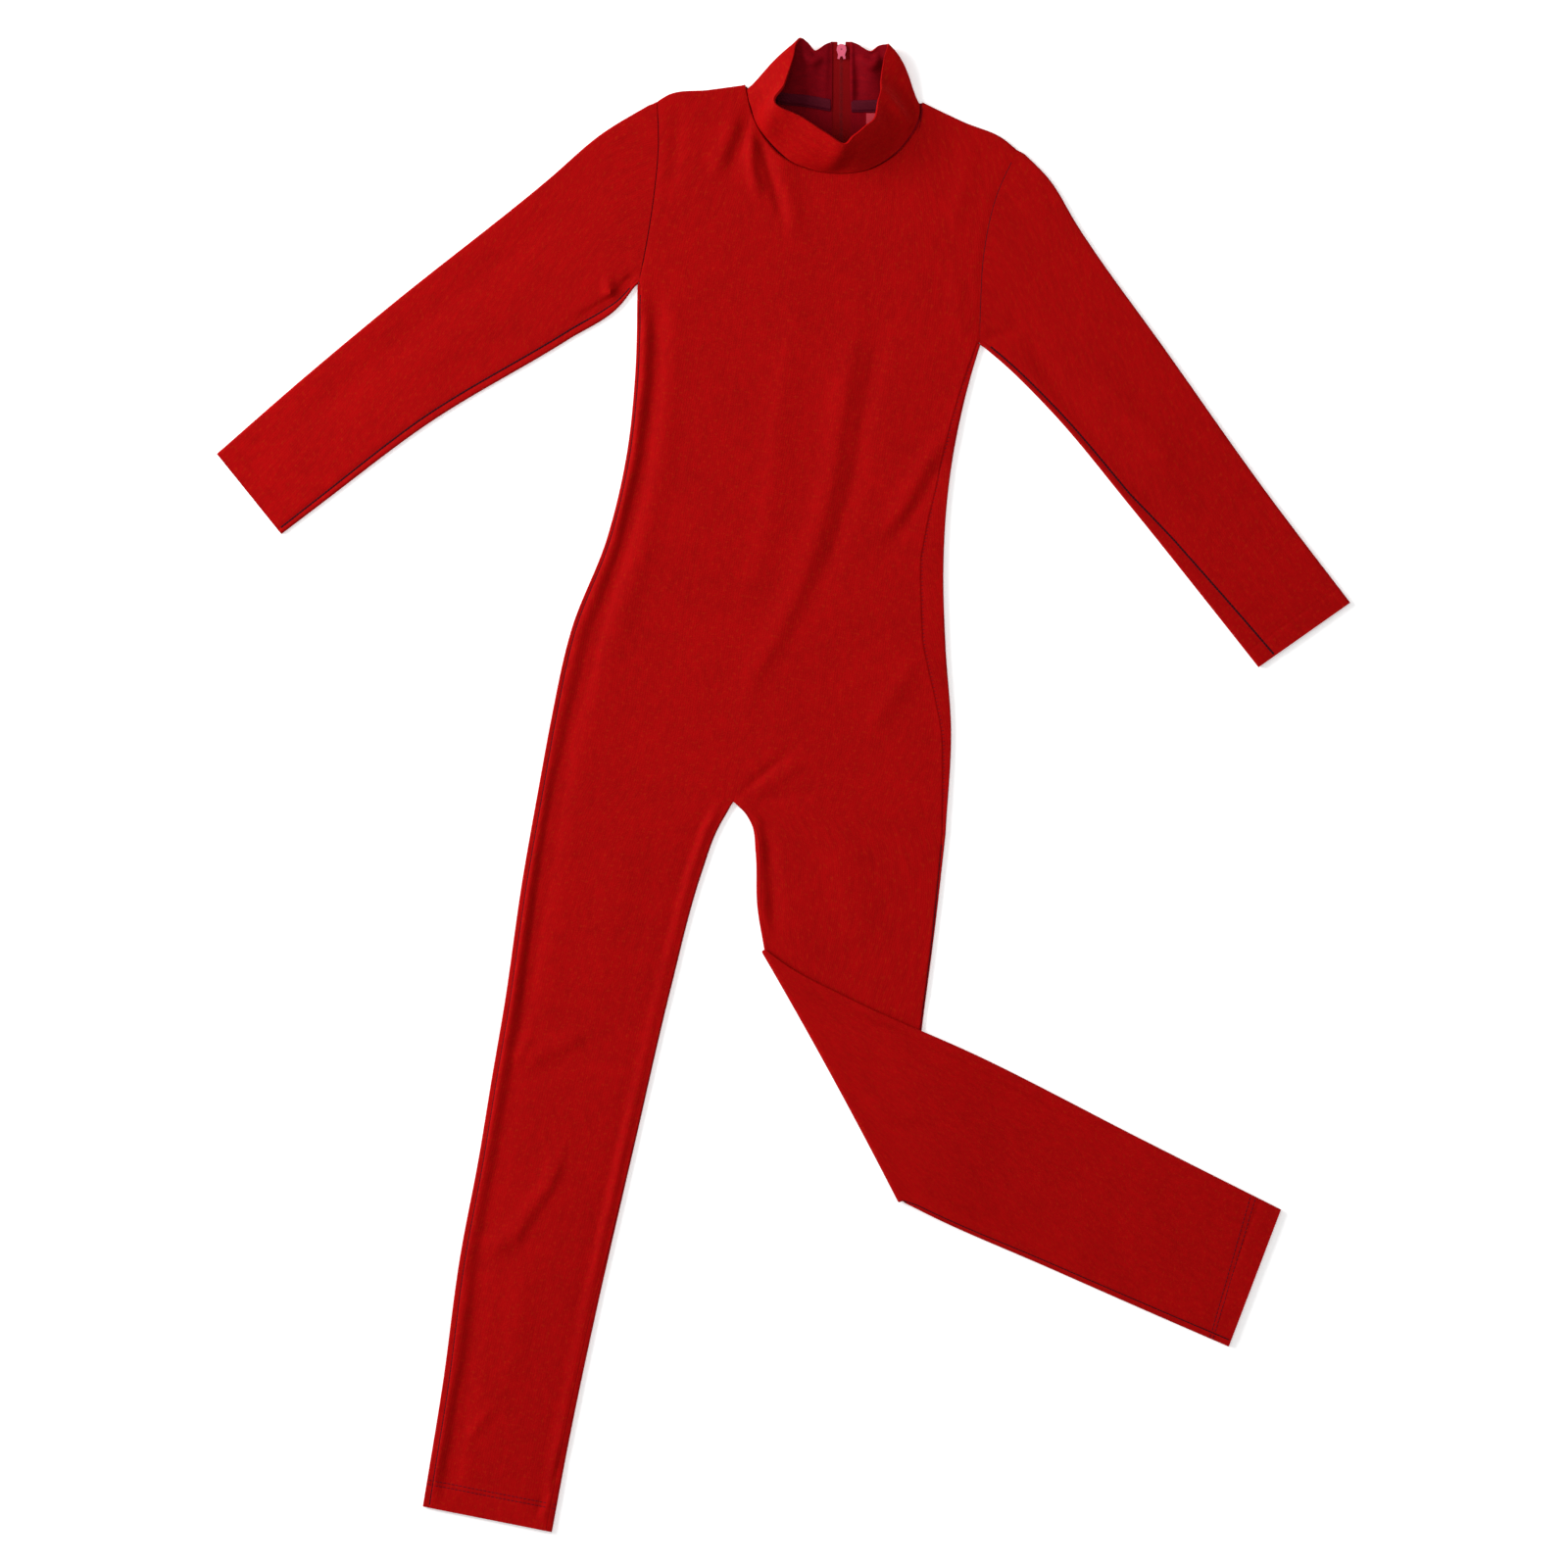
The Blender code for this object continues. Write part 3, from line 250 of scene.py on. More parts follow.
# Columns: outline, how far inside it (right of its direction above 0), rise, width towards the
# outline, width away from it.
EDGE_RIBS = (
    (RIGHT_EDGE, -6.4, 1.8, 3.0, 4.6),
    (RIGHT_EDGE, -14.5, -1.6, 5.0, 10.0),
    (RIGHT_SIDE, -25.0, 0.8, 6.0, 10.0),
    (RIGHT_INSEAM, 7.5, 1.0, 3.0, 3.5),
    (RIGHT_INSEAM, 13.0, -0.5, 3.0, 6.0),
    (LEFT_SIDE, 5.0, 0.5, 4.0, 5.0),
    (LEFT_INSEAM, -4.0, 0.9, 3.0, 3.5),
    (LEFT_INSEAM, -10.0, -0.5, 3.5, 6.0),
    (SLEEVE_BOTTOMS[RIGHT], -2.6, 0.8, 2.0, 1.8),
    (SLEEVE_BOTTOMS[RIGHT], -6.3, -0.8, 1.8, 2.0),
    (SLEEVE_BOTTOMS[RIGHT], -10.5, 1.5, 2.6, 4.5),
    (SLEEVE_BOTTOMS[RIGHT], -18.5, -0.9, 4.0, 8.0),
    (SLEEVE_BOTTOMS[LEFT], 10.0, 0.9, 3.0, 3.5),
    (SLEEVE_BOTTOMS[LEFT], 16.0, -0.8, 3.5, 7.0),
    (SLEEVE_TOPS[RIGHT], 5.0, 0.5, 4.0, 6.0),
)
HEM_LINE = 17.0  # from the hem to its stitching
CUFF_LINE = 14.0
TWIN_SPACING = 3.2  # between the two rows of twin-needle stitching
CREASE_STRENGTH = 1.3
CREASE_END = 0.22  # the share of its length over which a crease fades at each end
RIB_END = 0.04
GROOVE_SHARE = 0.6  # how much of the hem's groove the upper layer takes
PRESSED_FROM, PRESSED_OVER = 6.0, 25.0  # distances above the folded leg, which presses the thigh

# The fold at the knee.

FOLD_AXIS_Z = 2.95
FOLD_LIFT = 3.2  # what the thigh adds to the height of the leg that lies on it
FOLD_OUTWARDS = np.array([-0.878, -0.478])
FOLD_SAG = 1.5  # how far the middle of the fold reaches beyond its ends
FOLD_TURNS = 9
LIFT_START, LIFT_FALL = 10.0, 70.0  # from the thigh's outer edge
FOLDED_DEEPEST = 1.0  # how deep a crease of the folded leg may be

# How the rows of the body lie.
NECK_FRONT_Y, NECK_BACK_Y, ARMPIT_ROW_Y, CROTCH_Y = 447.1, 495.5, 345.0, -13.0
FRONT_TO_NECK = {RIGHT: 0.40, LEFT: 0.47}  # share of the top row that lies on the shoulder
CROTCH_INSET = 0.7  # of the back's edge, where the legs begin
LEG_LENGTHS = {RIGHT: 550.0, LEFT: 400.0}
SLEEVE_LENGTH = 400.0

# The collar, from the right tape of the zip, round the front, to the left tape.

# Columns: foot x, y, z; top edge x, y, z; how far the wall bows out.
COLLAR_WALL = 1.6
COLLAR = (
    (35.2, 497.0, 0.9, 35.4, 545.2, 4.4, 0.0),
    (27.0, 498.6, 0.9, 30.5, 543.6, 5.0, 0.0),
    (15.0, 500.6, 0.9, 23.0, 538.6, 7.0, 0.0),
    (0.0, 502.2, 0.9, 17.3, 545.0, 7.5, 0.0),
    (-16.0, 506.2, 1.0, 12.2, 548.0, 9.0, 0.5),
    (-25.6, 510.2, 1.9, 8.6, 542.5, 11.5, 2.4),
    (-26.3, 506.3, 3.4, 6.4, 532.5, 14.0, 2.4),
    (-24.0, 497.4, 4.2, 0.2, 515.0, 19.0, 1.5),
    (-17.4, 481.6, 4.6, -6.0, 501.4, 24.0, 1.5),
    (2.2, 460.2, 5.2, 14.4, 488.9, 28.0, 1.5),
    (19.6, 452.4, 5.4, 32.4, 477.4, 30.0, 2.0),
    (34.2, 449.6, 5.4, 44.4, 470.6, 31.0, 2.0),
    (50.4, 449.7, 5.4, 52.4, 477.0, 30.5, 2.0),
    (65.8, 453.8, 5.2, 59.6, 483.4, 29.0, 2.0),
    (81.6, 464.2, 4.8, 67.0, 490.0, 26.0, 1.5),
    (91.6, 476.0, 4.4, 69.2, 504.0, 22.0, 1.5),
    (98.0, 487.6, 4.0, 71.4, 518.0, 17.0, 1.5),
    (99.4, 495.0, 3.0, 73.6, 533.6, 12.5, 4.2),
    (97.6, 500.4, 2.0, 76.2, 542.6, 10.0, 3.6),
    (88.0, 499.2, 0.9, 74.8, 543.4, 7.5, 0.5),
    (76.0, 497.4, 0.9, 69.6, 542.4, 6.6, 0.0),
    (64.0, 496.8, 0.9, 63.2, 538.2, 6.6, 0.0),
    (55.0, 496.6, 0.9, 54.0, 543.6, 5.0, 0.0),
    (48.8, 496.6, 0.9, 48.9, 545.4, 4.4, 0.0),
)
# Folds of the collar towards the side that shows. Columns: row of the table above, share of the
# height, rise (dents below 0), width in rows of the table, width in shares of the height.
COLLAR_FOLDS = (
    (8.2, 0.5, 2.6, 0.34, 0.8),  # the corner at the left of the neck's opening
    (7.2, 0.45, -1.5, 0.5, 0.6),
    (9.0, 0.5, -0.5, 0.4, 0.6),
    (15.35, 0.55, 3.0, 0.36, 0.6),  # the upright ridge at its right
    (16.3, 0.35, -2.2, 0.5, 0.5),
    (14.3, 0.4, -1.3, 0.6, 0.5),
    (11.7, 0.5, -1.6, 0.45, 0.6),  # under the point of the opening
    (10.7, 0.45, 0.9, 0.7, 0.5),
    (2.2, 0.80, 2.0, 0.9, 0.085),  # the lips that the top edge rolls over, on both sides of the zip
    (2.2, 0.95, -1.6, 0.7, 0.07),
    (0.8, 0.5, 0.7, 0.4, 0.6),
    (3.6, 0.45, -1.2, 0.7, 0.35),
    (20.9, 0.76, 2.2, 0.9, 0.085),
    (20.9, 0.93, -1.8, 0.6, 0.08),
    (19.9, 0.6, -1.3, 0.45, 0.4),
    (22.8, 0.5, 0.9, 0.3, 0.8),
    (22.0, 0.35, -0.9, 0.5, 0.3),
)
COLLAR_STATIONS = 230
COLLAR_LEVELS = 22
COLLAR_FOLD_STRENGTH = 1.2
NECK_CENTRE = (38.0, 500.0)
BOW_SCALE = 6.75  # makes the highest value of share * share * (1 - share) a whole
CAMERA_HEIGHT = 6400.0

# The zip and the stitches.

ZIP_TOP_Y, ZIP_END_Y = 545.0, 186.0
TAPE_INNER, TAPE_OUTER = 0.03, 7.5
TAPE_SHOWS = 6.65  # the rest is caught in the seam
COIL_BELOW = 0.06
ZIP_TOP_Z = 4.4
TAPE_WALL = 0.5
ZIP_RISE_Y = (495.0, 545.0)
SLIDER_Y = 536.0
TAPES_PARTED = 2.9
COIL_TOP_Y = 538.0
COIL_PITCH = 1.3
COIL_REACH, COIL_LEAN, COIL_RADIUS = 1.5, 0.2, 0.37
STITCH_PITCH, STITCH_LENGTH, STITCH_RADIUS = 3.0, 2.3, 0.3
STITCH_RISE = 0.02  # of a stitch's middle above the cloth
SEAM_RADIUS, SLEEVE_SEAM_RADIUS, SEAM_PITCH = 0.62, 0.95, 2.4
LADDER_RADIUS, LADDER_PITCH = 0.24, 2.7
LADDER_REACH = np.array([1.6, 0.35, 0.0])
OVERLOCK_RADIUS, OVERLOCK_STEP = 0.56, 0.06


# Curves, lines and tables.


def smooth(x):
    x = np.clip(x, 0.0, 1.0)
    return x * x * (3.0 - 2.0 * x)


def hermite(points, keys, at):
    """Smooth curve through points at their keys, read at the values at."""
    points, keys, at = np.array(points, float), np.asarray(keys, float), np.asarray(at, float)
    slopes = np.gradient(points, keys, axis=0)
    i = np.clip(np.searchsorted(keys, at, side="right") - 1, 0, len(keys) - 2)
    span = (keys[i + 1] - keys[i])[:, None]
    t = (at[:, None] - keys[i][:, None]) / span
    return (
        (2 * t**3 - 3 * t**2 + 1) * points[i]
        + (t**3 - 2 * t**2 + t) * span * slopes[i]
        + (3 * t**2 - 2 * t**3) * points[i + 1]
        + (t**3 - t**2) * span * slopes[i + 1]
    )


def run_lengths(points):
    """The length along a line of points, up to each of them."""
    steps = np.linalg.norm(np.diff(points, axis=0), axis=1)
    return np.concatenate([[0.0], np.cumsum(steps)])


def through(points, shares):
    """Points of a smooth curve through the given ones, at shares of its length."""
    points = np.array(points, float)
    lengths = run_lengths(points)
    return hermite(points, lengths, np.clip(np.atleast_1d(shares), 0, 1) * lengths[-1])


def from_table(table, share, column=1):
    """Reads a column at a share of the length, which is the table's first column."""
    return float(np.interp(share, [row[0] for row in table], [row[column] for row in table]))


def along_line(line, x, y):
    """Signed distance from a line of points, positive to its left, and the share of its length."""
    line = np.array(line, float)
    steps = np.diff(line, axis=0)
    sizes = np.linalg.norm(steps, axis=1)
    starts = run_lengths(line)
    best = np.full(x.shape, 1e9)
    signed, share = np.zeros(x.shape), np.zeros(x.shape)
    for k in range(len(steps)):
        rx, ry = x - line[k, 0], y - line[k, 1]
        t = np.clip((rx * steps[k, 0] + ry * steps[k, 1]) / sizes[k] ** 2, 0, 1)
        dx, dy = rx - t * steps[k, 0], ry - t * steps[k, 1]
        distance = np.hypot(dx, dy)
        nearer = distance < best
        turn = np.sign(steps[k, 0] * dy - steps[k, 1] * dx)
        best = np.where(nearer, distance, best)
        signed = np.where(nearer, turn * distance, signed)
        share = np.where(nearer, (starts[k] + t * sizes[k]) / starts[-1], share)
    return signed, share


def crease_rise(table, x, y):
    """Sum of the creases of a table, each of them a soft bell across its line."""
    rise = np.zeros(x.shape)
    for _, height, left, right, line in table:
        signed, share = along_line(line, x, y)
        width = np.where(signed > 0, right, left)
        ends = smooth(np.minimum(share, 1 - share) / CREASE_END) * 0.85 + 0.15
        rise += height * np.exp(-((signed / width) ** 2)) * ends
    return rise


def rib_rise(x, y):
    """The seam allowances lie inside along the edges and lift the cloth there."""
    rise = np.zeros(x.shape)
    for line, inside, height, near, far in EDGE_RIBS:
        signed, share = along_line(line, x, y)
        off = signed * -np.sign(inside) - abs(inside)
        width = np.where(off < 0, near, far)
        ends = smooth(np.minimum(share, 1 - share) / RIB_END)
        uneven = 0.8 + 0.35 * np.sin(share * 13.0 + abs(inside))
        rise += height * ends * uneven * np.exp(-((off / width) ** 2))
    return rise


def unevenness(x, y):
    """The slight waviness of cloth that has been laid out by hand, about 0.3 mm."""
    broad = np.sin(x / 31 + 1.3 * np.sin(y / 57)) * np.sin(y / 43 + 0.8 * np.sin(x / 39) + 1.1)
    fine = np.sin(x / 11.3 + 1.7 * np.sin(y / 23) + 0.4) * np.sin(y / 14.1 + 1.2 * np.sin(x / 17))
    return 0.26 * broad + 0.07 * fine


def above_folded_leg(x, y):
    """Distance from the upper edge of the folded leg."""
    return (x + 16.6) * 0.429 + (y + 123.1) * 0.903


def twin_dip(distance, line, deep, shallow):
    """The two dips of twin-needle stitching, at a distance from the hem."""
    first = deep * np.exp(-(((distance - line) / 1.4) ** 2))
    return first + shallow * np.exp(-(((distance - line - TWIN_SPACING) / 1.1) ** 2))


def hem_groove(x, y):
    """The twin lines of stitching draw the cloth in along the right hem and the cuffs."""
    groove = np.zeros(x.shape)
    for a, b, inwards in HEMS:
        a, b = np.array(a), np.array(b)
        across = (b - a) / np.linalg.norm(b - a)
        normal = np.array([-across[1], across[0]])
        if np.dot(normal, inwards) < 0:
            normal = -normal
        d = (x - a[0]) * normal[0] + (y - a[1]) * normal[1]
        along = (x - a[0]) * across[0] + (y - a[1]) * across[1]
        near = (along > -8) & (along < np.linalg.norm(b - a) + 8)
        line = HEM_LINE if inwards[1] > 0.9 else CUFF_LINE
        groove += np.where(near, twin_dip(d, line, 0.42, 0.2), 0.0)
    return groove


# The hem of the right leg and both cuffs: their ends, and which way lies inwards.
HEMS = (
    (RIGHT_OUTSEAM[-1], RIGHT_INSEAM[-1], (0.0, 1.0)),
    (SLEEVE_TOPS[RIGHT][-1], SLEEVE_BOTTOMS[RIGHT][-1], (0.7, 0.7)),
    (SLEEVE_TOPS[LEFT][-1], SLEEVE_BOTTOMS[LEFT][-1], (-0.6, 0.8)),
)


def top_height(x, y):
    """Height of the middle of the upper layer."""
    x, y = np.asarray(x, float), np.asarray(y, float)
    rise = LOFT + CREASE_STRENGTH * crease_rise(CREASES, x, y) + rib_rise(x, y) + unevenness(x, y)
    above = rise + DEEPEST
    rise = 0.5 * (above + np.sqrt(above**2 + 0.04)) - DEEPEST  # troughs stay clear of the back
    left_thigh = (x > -60) & (y < 20)
    free = smooth((above_folded_leg(x, y) - PRESSED_FROM) / PRESSED_OVER)
    return FRONT_MID + rise * np.where(left_thigh, free, 1.0) - GROOVE_SHARE * hem_groove(x, y)


CENTRE = through(CENTRE_LINE, np.linspace(0, 1, 400))


def centre_points(y):
    """Points of the garment's centre line at the heights y on the table."""
    y = np.atleast_1d(np.asarray(y, float))
    return np.stack([np.interp(-y, -CENTRE[:, 1], CENTRE[:, 0]), y], axis=1)


# The sections of the body, the legs and the sleeves.


def edge(layer, seam, half, roll_in=1.0, roll_down=1.0, step=FLAT_STEP):
    """Columns at one edge of the flattened tube, from the seam inwards: distance in, and side.

    The side goes from 1 on the front to -1 on the back as the edge turns under.
    """
    k = np.arange(EDGE_COLUMNS) / (EDGE_COLUMNS - 1)
    quarter = half * math.pi / 2
    start = layer * seam + SEAM_GAP / 2
    stop = max(quarter, start + 3.0)
    even = start + (stop - start) * k
    wrapped = np.concatenate([[start], np.linspace(-quarter, quarter, EDGE_COLUMNS - 1)])
    arc = even + (wrapped - even) * float(smooth((-quarter - start) / 1.5))
    turn = np.clip(arc / half, -math.pi / 2, math.pi / 2)
    inwards = WALL / 2 + half * (1 - np.cos(turn)) + np.maximum(np.abs(arc) - quarter, 0.0)
    side = layer * np.sin(turn)
    flat = step * k * (EDGE_COLUMNS - 1)
    return flat + (inwards - flat) * roll_in, layer + (side - layer) * roll_down


class Section:
    """One row across the body: its outer and inner outline points and how its edges turn."""

    def __init__(self, outer, inner, seams, place="upper", share=0.0, turn=0.0):
        self.outer, self.inner = np.array(outer, float), np.array(inner, float)
        self.seams, self.place, self.share = seams, place, share
        self.turn = math.radians(turn)
        self.sag = 0.0
        self.outer_roll = self.inner_roll = (1.0, 1.0)
        self.step = FLAT_STEP
        self.inset = {FRONT: 0.0, BACK: 0.0}

    def columns(self, layer, outer_half, inner_half):
        """The plan of each column, and its side: 1 on the front, -1 on the back."""
        across = self.inner - self.outer
        width = float(np.linalg.norm(across))
        outer = edge(layer, self.seams[0], outer_half, *self.outer_roll, self.step)
        inner = edge(layer, self.seams[1], inner_half, *self.inner_roll, self.step)
        ends = width - inner[0][::-1] - self.inset[layer]
        near = outer[0][-1] + NEAR_STEP * np.arange(1, NEAR_OUTER + 1)
        far = ends[0] - NEAR_STEP * np.arange(NEAR_INNER, 0, -1)
        middle = np.linspace(near[-1], far[0], INSIDE + 2)[1:-1]
        inwards = np.concatenate([outer[0], near, middle, far, ends])
        flat = np.full(len(inwards) - 2 * EDGE_COLUMNS, float(layer))
        side = np.concatenate([outer[1], flat, inner[1][::-1]])
        share = inwards / width
        bow = -4 * share * (1 - share) * self.sag
        return self.outer + np.outer(share, across) + np.outer(bow, FOLD_OUTWARDS), side


def low_and_top(x, y):
    """Heights of both layers: the one underneath lifts a little where the upper one swells."""
    top = top_height(x, y)
    return BACK_MID + UNDER_FOLLOWS * np.maximum(top - FRONT_MID - LOFT, 0.0), top


def height_between(side, x, y):
    """Height of a point of the tube, from the lower layer (side -1) to the upper one (side 1)."""
    low, top = low_and_top(x, y)
    return low + (side + 1) / 2 * (top - low)


def grid_of(rows, layer):
    """The middle of the cloth through these sections, a row of points for each."""
    places = np.array([row.place for row in rows])
    thick = np.array([folded_thickness(row.share) for row in rows])
    halves = []
    for ends in ([row.outer for row in rows], [row.inner for row in rows]):
        high = top_height(*np.array(ends).T) - BACK_MID
        halves.append(np.where(places == "upper", high, thick) / 2)
    found = [row.columns(layer, *half) for row, half in zip(rows, zip(*halves))]
    plan, side = np.array([f[0] for f in found]), np.array([f[1] for f in found])
    x, y = plan[:, :, 0], plan[:, :, 1]
    z = height_between(side, x, y)
    turn = np.array([row.turn for row in rows])[:, None]
    radius = FOLD_AXIS_Z - BACK_MID - (side + 1) / 2 * (FRONT_MID - BACK_MID)
    over = (places == "fold")[:, None]
    out = np.where(over, radius * np.sin(turn), 0.0)
    z = np.where(over, FOLD_AXIS_Z - radius * np.cos(turn), z)
    share = np.array([row.share for row in rows])[:, None]
    z = np.where((places == "folded")[:, None], folded_height(x, y, side, share, thick[:, None]), z)
    return np.stack([x + out * FOLD_OUTWARDS[0], y + out * FOLD_OUTWARDS[1], z], axis=2)


def folded_height(x, y, side, share, thick):
    """Height of the lower leg that is folded over, which lies on the thigh and beside it."""
    thigh_edge = LEFT_OUTSEAM[2][0] + 0.13 * (y - LEFT_OUTSEAM[2][1])
    lift = FOLD_LIFT * (1 - smooth((x - thigh_edge - LIFT_START) / LIFT_FALL))
    fresh = (crease_rise(FOLDED_CREASES, x, y) + unevenness(y, x)) * smooth(share / 0.12)
    under = UNDER_FOLLOWS * np.maximum(fresh, 0.0)
    over = thick + np.maximum(fresh, -FOLDED_DEEPEST) - folded_groove(x, y)
    return lift + BACK_MID + under + (1 - side) / 2 * (over - under)


def folded_thickness(share):
    """Between the middles of the folded leg's layers, at a share of its length from the fold."""
    return FRONT_MID - BACK_MID + LOFT * float(smooth(share / 0.3))


def folded_groove(x, y):
    """The same dips along the hem of the folded leg."""
    corner = FOLDED_INSEAM[-1]
    hem = np.array(corner) - np.array(FOLDED_OUTSEAM[-1])
    hem = hem / np.linalg.norm(hem)
    distance = -((x - corner[0]) * hem[1] - (y - corner[1]) * hem[0])
    return twin_dip(distance, HEM_LINE, 0.3, 0.15)


def near_hem(shares, length, line=HEM_LINE):
    """More rows by a hem, where its stitching lies."""
    extra = 1.0 - np.arange(0.6, line + 7, 1.3) / length
    return np.unique(np.round(np.concatenate([shares, extra]), 5))


def torso_sections(side, layer):
    """Rows from the neck to the crotch, and how many of them end at the armhole."""
    first = NECK_FRONT_Y if layer == FRONT else NECK_BACK_Y
    armhole = np.concatenate([[0.0, 0.03, 0.06], np.linspace(0.09, 0.97, 30), [0.982, 0.992, 1.0]])
    flank = np.concatenate([np.linspace(0.006, 0.97, 84), [0.978, 0.985, 0.991, 0.996, 1.0]])
    outer_armhole = through(ARMHOLES[side], armhole)
    outline = through(RIGHT_SIDE if side == RIGHT else LEFT_SIDE, flank)
    rows = []
    for share, outer in zip(armhole, outer_armhole):
        inner = centre_points(first + (ARMPIT_ROW_Y - first) * share)[0]
        row = Section(outer, inner, (2.5, 0.0), share=share)
        falls = float(smooth((share - 0.98) / 0.02))
        row.outer_roll, row.inner_roll = (falls, falls), (0.0, 0.0)
        row.step = FLAT_STEP * (1.0 if share < 0.9 else 0.5)
        rows.append(row)
    for share, outer in zip(flank, outline):
        inner = centre_points(ARMPIT_ROW_Y + (CROTCH_Y - ARMPIT_ROW_Y) * share)[0]
        row = Section(outer, inner, (from_table(SIDE_SEAM[side], share), 0.6), share=1.0 + share)
        row.inner_roll = (0.0, 0.75 * float(smooth((share - 0.985) / 0.015)))
        row.step = FLAT_STEP * (1.0 - 0.75 * float(smooth((share - 0.9) / 0.09)))
        rows.append(row)
    for row in rows:
        zipped = row.inner[1] > ZIP_END_Y - 2.5
        row.inset[BACK] = TAPE_SHOWS if zipped else SEAM_GAP / 2
        if row.inner_roll[1] > 0.1:
            row.inset[BACK] = CROTCH_INSET
    return rows, len(armhole)


def bend_to_neck(grid, rows, side, layer):
    """Bends the armhole's rows up to the shoulder and the neck, and turns the shoulder's edge."""
    columns = grid.shape[1]
    plan = grid[0, :, :2].copy()
    shares = np.linalg.norm(plan - plan[0], axis=1)
    shares = shares / shares[-1]
    corner = int(np.argmin(np.abs(shares - FRONT_TO_NECK[side])))
    shoulder = through(SHOULDERS[side], shares[: corner + 1] / shares[corner])
    neck_line = FRONT_NECK[side] if layer == FRONT else BACK_NECK[side]
    end = 1.0 - rows[0].inset[layer] / run_lengths(neck_line)[-1]
    beyond = (shares[corner + 1 :] - shares[corner]) / (1.0 - shares[corner])
    top = np.concatenate([shoulder, through(neck_line, beyond * end)])
    top[-1] = centre_points(top[-1, 1])[0] + np.array([side * rows[0].inset[layer], 0.0])
    fade = np.array([(1.0 - row.share) ** 1.5 for row in rows])[:, None, None]
    bent = grid.copy()
    bent[:, :, :2] += (top - plan) * fade
    if layer == BACK:
        bent[:, -1, :2] = centre_points(bent[:, -1, 1])
        bent[:, -1, 0] += side * np.array([row.inset[BACK] for row in rows])
    low, high = low_and_top(grid[:, :, 0], grid[:, :, 1])
    lift = (grid[:, :, 2] - low) / (high - low)
    bent[:, :, 2] = height_between(2 * lift - 1, bent[:, :, 0], bent[:, :, 1])
    half = (FRONT_MID + LOFT - BACK_MID) / 2
    inwards, turned = edge(layer, 0.0, half)
    along = bent[3, :, :2] - top
    along = along / np.linalg.norm(along, axis=1)[:, None]
    on_shoulder = smooth((corner + 0.5 - np.arange(columns)) / 1.5)
    from_corner = smooth((np.arange(columns) - corner - 0.5) / (9.0 if layer == BACK else 3.0))
    top = top - along * (NECK_TUCK[layer] * from_corner)[:, None]
    firsts = []
    for k in range(EDGE_COLUMNS):
        shift = on_shoulder * inwards[k] + (1 - on_shoulder) * 0.55 * k
        place = top + along * shift[:, None]
        turn = layer + (turned[k] - layer) * on_shoulder
        height = height_between(turn, place[:, 0], place[:, 1])
        height = height - 0.9 * (1 - on_shoulder) * max(1 - k / 2.5, 0.0) * (layer == FRONT)
        firsts.append(np.column_stack([place, height]))
    return np.concatenate([np.array(firsts), bent[2:]])


def leg_sections(side):
    """Rows from the crotch to the hem. On the left they turn over at the knee."""
    rows = []
    if side == RIGHT:
        shares = np.concatenate([[0.004, 0.009, 0.014], np.linspace(0.02, 1.0, 118)])
        shares = near_hem(shares, LEG_LENGTHS[side])
        outline, inseam = through(RIGHT_OUTSEAM, shares), through(RIGHT_INSEAM, shares)
        settle = 0.014
    else:
        shares = np.concatenate([[0.015, 0.03, 0.045], np.linspace(0.065, 1.0, 54)])
        outline, inseam = through(LEFT_OUTSEAM, shares), through(LEFT_INSEAM, shares)
        settle = 0.045
    for share, outer, inner in zip(shares, outline, inseam):
        seams = (from_table(LEG_SEAMS[side], share), from_table(LEG_SEAMS[side], share, 2))
        row = Section(outer, inner, seams, share=share)
        turned = float(smooth(share / settle))
        row.inner_roll = (turned, 0.75 + 0.25 * turned)
        row.inset = {FRONT: 0.3 * (1 - turned), BACK: CROTCH_INSET * (1 - turned)}
        row.step = FLAT_STEP * 0.25
        if side == LEFT:
            row.sag = FOLD_SAG * float(smooth((share - 0.6) / 0.4))
        rows.append(row)
    if side == RIGHT:
        return rows
    for turn in np.linspace(20, 180, FOLD_TURNS):
        row = Section(LEFT_OUTSEAM[-1], LEFT_INSEAM[-1], (0.4, 6.0), "fold", turn=turn)
        row.sag = FOLD_SAG
        rows.append(row)
    shares = near_hem(np.linspace(0.012, 1.0, 90), LEG_LENGTHS[side])
    for share, outer, inner in zip(shares, through(FOLDED_OUTSEAM, shares), through(FOLDED_INSEAM, shares)):
        seams = (from_table(FOLDED_SEAMS, share), from_table(FOLDED_SEAMS, share, 2))
        row = Section(outer, inner, seams, "folded", share)
        row.sag = FOLD_SAG * (1 - float(smooth(share / 0.2)))
        rows.append(row)
    return rows


def body_half(side, layer):
    """One side of the front or of the back, from the neck to the hem."""
    rows, count = torso_sections(side, layer)
    torso = grid_of(rows, layer)
    top = bend_to_neck(torso[:count], rows[:count], side, layer)
    return np.concatenate([top, torso[count:], grid_of(leg_sections(side), layer)])


